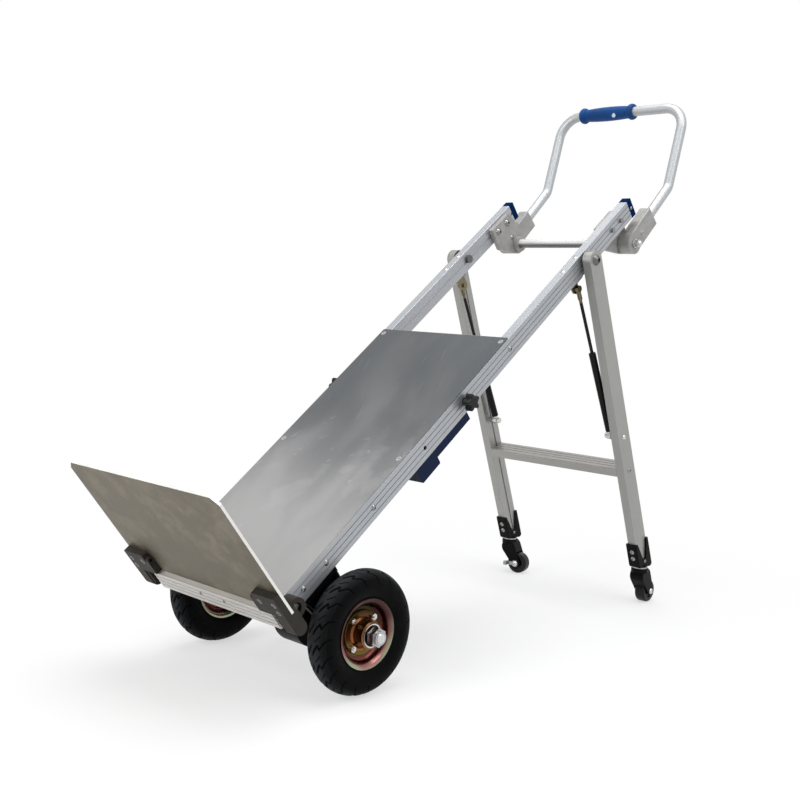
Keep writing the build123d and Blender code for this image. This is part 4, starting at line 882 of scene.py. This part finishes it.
class Model:
    """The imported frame's nodes, and the calls that dress them."""

    def __init__(self) -> None:
        """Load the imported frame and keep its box."""
        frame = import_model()
        self.nodes: dict[str, bpy.types.Object] = frame["nodes"]
        self.cad_box = [list(corner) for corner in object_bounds()]

    def dress(self, finish: Finish, *names: str) -> None:
        """Give CAD nodes a finish.

        Args:
            finish: The finish.
            names: The nodes' names.
        """
        for name in names:
            node = self.nodes[name]
            if not node.material_slots:
                node.data.materials.append(None)
            for slot in node.material_slots:
                slot.material = finish.material()
            log.info("%s takes %s", name, finish.name)

    def add(self, piece: bpy.types.Object, body: str, slot: str, replaced: str) -> None:
        """Let a new piece ride on a body, in place of a CAD node.

        Args:
            piece: The piece.
            body: The body that carries it.
            slot: The record's material slot; not used.
            replaced: The CAD node that it stands for.
        """
        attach(piece, body)
        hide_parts(replaced)
        log.info("%s rides on %s", piece.name, body)


Finishes = tuple[tuple[Finish, tuple[str, ...]], ...]


def both(name: str) -> tuple[str, str]:
    """The left and right nodes of one name."""
    return f"left_{name}", f"right_{name}"


@dataclass
class SubAssembly:
    """Nodes that belong together, with the finish that each of them takes."""

    finishes: Finishes = ()

    def dress(self, model: Model) -> None:
        """Give the nodes their finishes.

        Args:
            model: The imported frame.
        """
        for finish, names in self.finishes:
            model.dress(finish, *names)


@dataclass
class LoadFrame(SubAssembly):
    """Rails, cross members, deck, battery and the boxes under the deck."""

    finishes: Finishes = (
        (RAIL_ALLOY, both("rail")),
        (CROSS_ALLOY, ("cross_members",)),
        (DECK_SHEET, ("deck_panel",)),
        (RAIL_SCREW_STEEL, ("frame_screws",)),
        (PIVOT_STEEL, ("pivot_bolts",)),
        (CAP_MOULDING, ("rail_end_caps",)),
        (NAVY_MOULDING, ("battery_box",)),
        (BLACK_MOULDING, (*both("star_knob"), "controller_box")),
    )


@dataclass
class ToeFlap(SubAssembly):
    """The toe plate and its castings."""

    finishes: Finishes = (
        (TOE_SHEET, ("toe_plate",)),
        (DARK_CASTING, ("toe_hinges",)),
        (PAD_STEEL, ("toe_screws",)),
    )


@dataclass
class ClimbDrive(SubAssembly):
    """The axle, its brackets, the gearbox and the climbing crank."""

    finishes: Finishes = (
        (BRIGHT_STEEL, ("axle", "motor_pinion", "crank_shaft")),
        (NUT_STEEL, ("axle_nuts",)),
        (BLACK_COAT, ("axle_brackets", "gearbox_case", "drive_motor", "crank_arms")),
        (ROLLER_RUBBER, both("roller")),
    )


def arc(first: Pair, middle: Pair, last: Pair, count: int) -> np.ndarray:
    """Points on the circle through three points, from the first to the last.

    The centre is equally far from the three points, and the angle round it goes evenly.

    Args:
        first: Where the arc starts.
        middle: A point that it passes.
        last: Where it ends.
        count: How many points it gets.

    Returns:
        The points, one a row.
    """
    ends = np.array([first, middle, last])
    squares = (ends**2).sum(axis=1)
    centre = np.linalg.solve(ends[1:] - ends[0], 0.5 * (squares[1:] - squares[0]))
    offsets = ends - centre
    angles = np.unwrap(np.arctan2(offsets[:, 1], offsets[:, 0]))
    turn = np.linspace(angles[0], angles[2], count)
    return centre + np.hypot(*offsets[0]) * np.column_stack([np.cos(turn), np.sin(turn)])


def ease(value: np.ndarray, low: float, high: float) -> np.ndarray:
    """A smooth step from 0 at the low place to 1 at the high one.

    Args:
        value: The places.
        low: Where it leaves 0.
        high: Where it reaches 1.

    Returns:
        The step's height at each place.
    """
    share = np.clip((value - low) / (high - low), 0.0, 1.0)
    return share * share * (3.0 - 2.0 * share)


def grid_piece(name: str, points: np.ndarray, finish: Finish) -> bpy.types.Object:
    """A smooth piece of quads over a grid of points that closes on itself both ways.

    Args:
        name: The piece's name.
        points: Rows by columns by three.
        finish: The piece's finish.

    Returns:
        The piece.
    """
    index = np.arange(points.shape[0] * points.shape[1]).reshape(points.shape[:2])
    index = np.pad(index, ((0, 1), (0, 1)), mode="wrap")
    quads = np.stack([index[:-1, :-1], index[1:, :-1], index[1:, 1:], index[:-1, 1:]], axis=-1)
    mesh = bpy.data.meshes.new(name)
    mesh.from_pydata(points.reshape(-1, 3).tolist(), [], quads.reshape(-1, 4).tolist())
    mesh.shade_smooth()
    mesh.materials.append(finish.material())
    piece = bpy.data.objects.new(name, mesh)
    bpy.context.scene.collection.objects.link(piece)
    return piece


@dataclass(frozen=True)
class Groove:
    """A groove of the tread, as a bent line in shares of a pitch round and metres across."""

    line: tuple[Pair, ...]
    width: float
    depth: float
    floor: float = 0.25
    wall: float = 0.55

    def cut(self, around: np.ndarray, across: np.ndarray, pitch: float) -> np.ndarray:
        """How deep the groove is at each place.

        The distance to a run of the line is the length to the nearest place on it. The groove is full depth
        out to its floor's share of the width and eases to nothing at its wall's share. It repeats at each
        pitch.

        Args:
            around: Places round the tyre.
            across: Places across it.
            pitch: Length of the pattern.

        Returns:
            The depths.
        """
        nearest = np.full(around.shape, np.inf)
        for start, end in zip(self.line[:-1], self.line[1:]):
            for repeat in (-1, 0, 1):
                from_start = np.stack([around - (start[0] + repeat) * pitch, across - start[1]])
                run = np.array([(end[0] - start[0]) * pitch, end[1] - start[1]])
                share = np.clip(np.tensordot(run, from_start, 1) / (run @ run), 0.0, 1.0)
                away = from_start - run[:, None, None] * share
                nearest = np.minimum(nearest, np.hypot(*away))
        return self.depth * (1.0 - ease(nearest, self.floor * self.width, self.wall * self.width))


@dataclass
class RoadWheel:
    """One air-tyred wheel on the axle, with its tread."""

    side: str
    crown: Pair = (TYRE_RADIUS, 0.0)
    shoulder: Pair = (0.101, 0.021)
    flank: Pair = (0.0819, 0.0265)
    lip: Pair = (0.0628, 0.0188)
    bead: Pair = (0.0530, 0.0126)
    flank_steps: int = 17
    tread_steps: int = 58
    pitches: int = 19
    columns: int = 950
    grooves: tuple[Groove, ...] = (
        Groove(((0.0, 0.0), (0.50, 0.0105)), 0.0046, 0.0034),
        Groove(((0.50, 0.0105), (0.30, 0.0145)), 0.0040, 0.0032),
        Groove(((0.30, 0.0145), (0.72, 0.0240), (0.84, 0.0370)), 0.0030, 0.0026),
        Groove(((0.66, 0.0050), (0.98, 0.0155)), 0.0024, 0.0020),
    )

    def section(self) -> np.ndarray:
        """The tyre's outline as distance from the axle and place across, round one closed loop.

        Each flank is an arc from the rim's lip over its widest place to the shoulder, the tread is an arc
        over the crown, and straight lines join the lips and the bead.

        Returns:
            The outline's points.
        """
        flank = arc(self.lip, self.flank, self.shoulder, self.flank_steps)
        tread = arc(self.shoulder, self.crown, (self.shoulder[0], -self.shoulder[1]), self.tread_steps)
        mirrored = flank[::-1] * (1.0, -1.0)
        bead = np.array([(self.bead[0], -self.bead[1]), self.bead])
        return np.vstack([flank[:-1], tread, mirrored[1:], bead])

    def tyre(self) -> bpy.types.Object:
        """The tyre as its section carried round the axle, with the tread's grooves pressed in.

        A point stands at the section's distance from the axle, less the grooves' depth along the section's
        outward normal. The two halves of the tread run opposite ways round, half a pitch apart.

        Returns:
            The piece.
        """
        outline = self.section()
        steps = np.diff(outline, axis=0, append=outline[:1])
        tangent = steps + np.roll(steps, 1, axis=0)
        tangent /= np.hypot(*tangent.T)[:, None]
        normal = np.column_stack([-tangent[:, 1], tangent[:, 0]])
        crown_at = int(np.argmax(outline[:, 0]))
        travel = np.concatenate([[0.0], np.cumsum(np.hypot(*steps.T))[:-1]])
        across = (travel[crown_at] - travel)[:, None]
        turn = np.linspace(0.0, 2.0 * math.pi, self.columns, endpoint=False)[None, :]
        pitch = 2.0 * math.pi * self.crown[0] / self.pitches
        around = turn * self.crown[0] + np.where(across < 0.0, 0.5 * pitch, 0.0)
        around = np.where(across < 0.0, around, -around) % pitch
        from_crown = np.broadcast_to(np.abs(across), around.shape)
        depth = np.zeros_like(around)
        for groove in self.grooves:
            depth = np.maximum(depth, groove.cut(around, from_crown, pitch))
        reach = outline[:, :1] - depth * normal[:, :1]
        place = outline[:, 1:] - depth * normal[:, 1:]
        points = np.stack([SIDES[self.side] * TRACK_HALF + place, AXLE[1] + reach * np.cos(turn),
                           AXLE[2] + reach * np.sin(turn)], axis=-1)
        return grid_piece(f"{self.side}_tread_tyre", points, TYRE_RUBBER)

    def dress(self, model: Model) -> None:
        """Give the wheel's nodes their finishes, and put the treaded tyre in place of the plain one.

        Args:
            model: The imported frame.
        """
        model.dress(FILM_ZINC, f"{self.side}_rim", f"{self.side}_hub")
        model.dress(BRIGHT_STEEL, f"{self.side}_hub_bolts")
        model.dress(BEARING_STEEL, f"{self.side}_wheel_bearings")
        model.add(self.tyre(), f"{self.side}_wheel", "tyre_rubber", f"{self.side}_tyre")


@dataclass
class LegStand(SubAssembly):
    """The folding legs, their gas struts and their casters."""

    finishes: Finishes = (
        (LEG_ALLOY, both("leg")),
        (LEG_BAR_ALLOY, ("leg_cross_bar",)),
        (DOME_STEEL, ("leg_screws",)),
        (BRIGHT_STEEL, ("strut_ball_studs", *both("caster_axle"))),
        (OLIVE_ZINC, ("strut_brackets",)),
        (CYLINDER_COAT, both("strut_cylinder")),
        (ROD_STEEL, both("strut_rod")),
        (BLACK_COAT, ("caster_cups",)),
        (FORK_COAT, both("caster_fork")),
        (BLACK_MOULDING, both("caster_wheel")),
        (GREY_STEEL, ("caster_brake_lever",)),
    )


@dataclass
class Handle(SubAssembly):
    """The tilting handle, its castings and its grip."""

    finishes: Finishes = (
        (TUBE_ALLOY, ("handle_tube",)),
        (SHAFT_ALLOY, ("cross_shaft",)),
        (PALE_CASTING, ("handle_brackets", "swivel_blocks")),
        (DOME_STEEL, ("bracket_bolts",)),
        (BRIGHT_STEEL, ("swivel_bolts",)),
        (BLUE_MOULDING, ("grip",)),
        (PALE_MOULDING, ("grip_button",)),
    )


@dataclass(frozen=True)
class Lamp:
    """A soft square lamp, aimed at a place."""

    name: str
    place: Triple
    aim: Triple
    size: float
    watts: float

    def light(self) -> None:
        """Add the lamp to the scene."""
        data = bpy.data.lights.new(self.name, "AREA")
        data.size = self.size
        data.energy = self.watts
        lamp = bpy.data.objects.new(self.name, data)
        lamp.location = self.place
        lamp.rotation_euler = (Vector(self.aim) - Vector(self.place)).to_track_quat("-Z", "Y").to_euler()
        bpy.context.scene.collection.objects.link(lamp)


@dataclass
class Studio:
    """The pale floor, the soft light and the camera, with angles in degrees and the lens in millimetres."""

    eye: Triple = (1.6334, -1.7138, 0.7223)
    azimuth: float = 45.90
    pitch: float = 6.15
    roll: float = 1.28
    lens: float = 53.28
    shift: Pair = (0.03125, 0.0011)
    room_light: float = 0.22
    room_tint: Color = (0.97, 0.98, 1.0)
    bright_way: Triple = (0.1, 0.99, 0.0)
    bright_span: Pair = (-0.5, 0.8)
    ceiling: Pair = (0.5, 0.85)
    floor_half: float = 6.0
    floor_tone: Color = (0.95, 0.95, 0.95)
    floor_fade: Pair = (0.45, 1.25)
    floor_glow: Pair = (0.58, 1.0)
    lamps: tuple[Lamp, ...] = (
        Lamp("key", (2.2, 0.2, 2.8), (0.0, 0.0, 0.5), size=1.8, watts=26.0),
        Lamp("front", (-0.3, -2.4, 1.6), (0.0, -0.5, 0.15), size=1.2, watts=26.0),
        Lamp("top", (0.0, 0.0, 3.2), (0.0, 0.0, 0.4), size=2.2, watts=60.0),
    )

    def camera(self) -> None:
        """Set the camera at the photograph's place, from its azimuth, pitch and roll."""
        turn = math.radians(self.azimuth)
        tilt = math.radians(self.pitch)
        lean = math.radians(self.roll)
        back = Vector((math.sin(turn) * math.cos(tilt), -math.cos(turn) * math.cos(tilt), math.sin(tilt)))
        right = Vector((math.cos(turn), math.sin(turn), 0.0))
        up = back.cross(right)
        level = right * math.cos(lean) + up * math.sin(lean)
        rise = up * math.cos(lean) - right * math.sin(lean)
        frame = Matrix((level, rise, back)).transposed().to_4x4()
        data = bpy.data.cameras.new("camera")
        data.lens = self.lens
        data.shift_x, data.shift_y = self.shift
        view = bpy.data.objects.new("camera", data)
        view.matrix_world = Matrix.Translation(self.eye) @ frame
        bpy.context.scene.collection.objects.link(view)
        bpy.context.scene.camera = view

    def world(self) -> None:
        """A surround that is white to the camera and in gloss, and lights the object most from behind."""
        world = bpy.data.worlds.new("surround")
        world.use_nodes = True
        bpy.context.scene.world = world
        world.node_tree.nodes.clear()
        nodes = NodeTree(world.node_tree)
        ray = nodes.coords("Generated")
        behind = nodes.span(nodes.dot(ray, self.bright_way), *self.bright_span)
        low = nodes.span(nodes.dot(ray, UP), *self.ceiling, 1.0, 0.0)
        share = nodes.maths("MULTIPLY", behind, low)
        level = nodes.span(share, 0.0, 1.0, self.room_light, 1.0)
        room = nodes.node("ShaderNodeBackground", Color=rgba(self.room_tint), Strength=level)
        white = nodes.node("ShaderNodeBackground", Color=rgba(WHITE), Strength=1.0)
        mix = nodes.node("ShaderNodeMixShader", Fac=nodes.shows())
        nodes.feed(mix.inputs[1], room.outputs[0])
        nodes.feed(mix.inputs[2], white.outputs[0])
        out = nodes.node("ShaderNodeOutputWorld")
        nodes.feed(out.inputs["Surface"], mix.outputs[0])

    def floor(self) -> None:
        """A pale floor that keeps the object's shadow and fades to white further out."""
        half = self.floor_half
        mesh = bpy.data.meshes.new("floor")
        corners = [(-half, -half, 0.0), (half, -half, 0.0), (half, half, 0.0), (-half, half, 0.0)]
        mesh.from_pydata(corners, [], [(0, 1, 2, 3)])
        floor = bpy.data.objects.new("floor", mesh)
        bpy.context.scene.collection.objects.link(floor)
        shader = Shader("pale_floor")
        shader.shade(Base_Color=rgba(self.floor_tone), Roughness=0.9, Specular_IOR_Level=0.1)
        glow = shader.node("ShaderNodeEmission", Color=rgba(WHITE), Strength=1.0)
        far = shader.span(shader.length(shader.place()), *self.floor_fade, *self.floor_glow)
        share = shader.maths("MULTIPLY", far, shader.shows())
        blend = shader.node("ShaderNodeMixShader", Fac=share)
        shader.feed(blend.inputs[1], shader.base.outputs[0])
        shader.feed(blend.inputs[2], glow.outputs[0])
        shader.feed(shader.tree.nodes["Material Output"].inputs["Surface"], blend.outputs[0])
        mesh.materials.append(shader.material)
        floor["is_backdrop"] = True

    def build(self) -> None:
        """Set up the floor, the light and the camera."""
        self.camera()
        self.world()
        self.floor()
        for lamp in self.lamps:
            lamp.light()
        bpy.context.scene.view_settings.view_transform = "Standard"


def main() -> None:
    """Build the sub-assemblies in order."""
    logging.basicConfig(level=logging.INFO)
    model = Model()
    Studio().build()
    wheels = [RoadWheel(side) for side in SIDES]
    for assembly in (LoadFrame(), ToeFlap(), ClimbDrive(), *wheels, LegStand(), Handle()):
        assembly.dress(model)


if __name__ == "__main__":
    main()
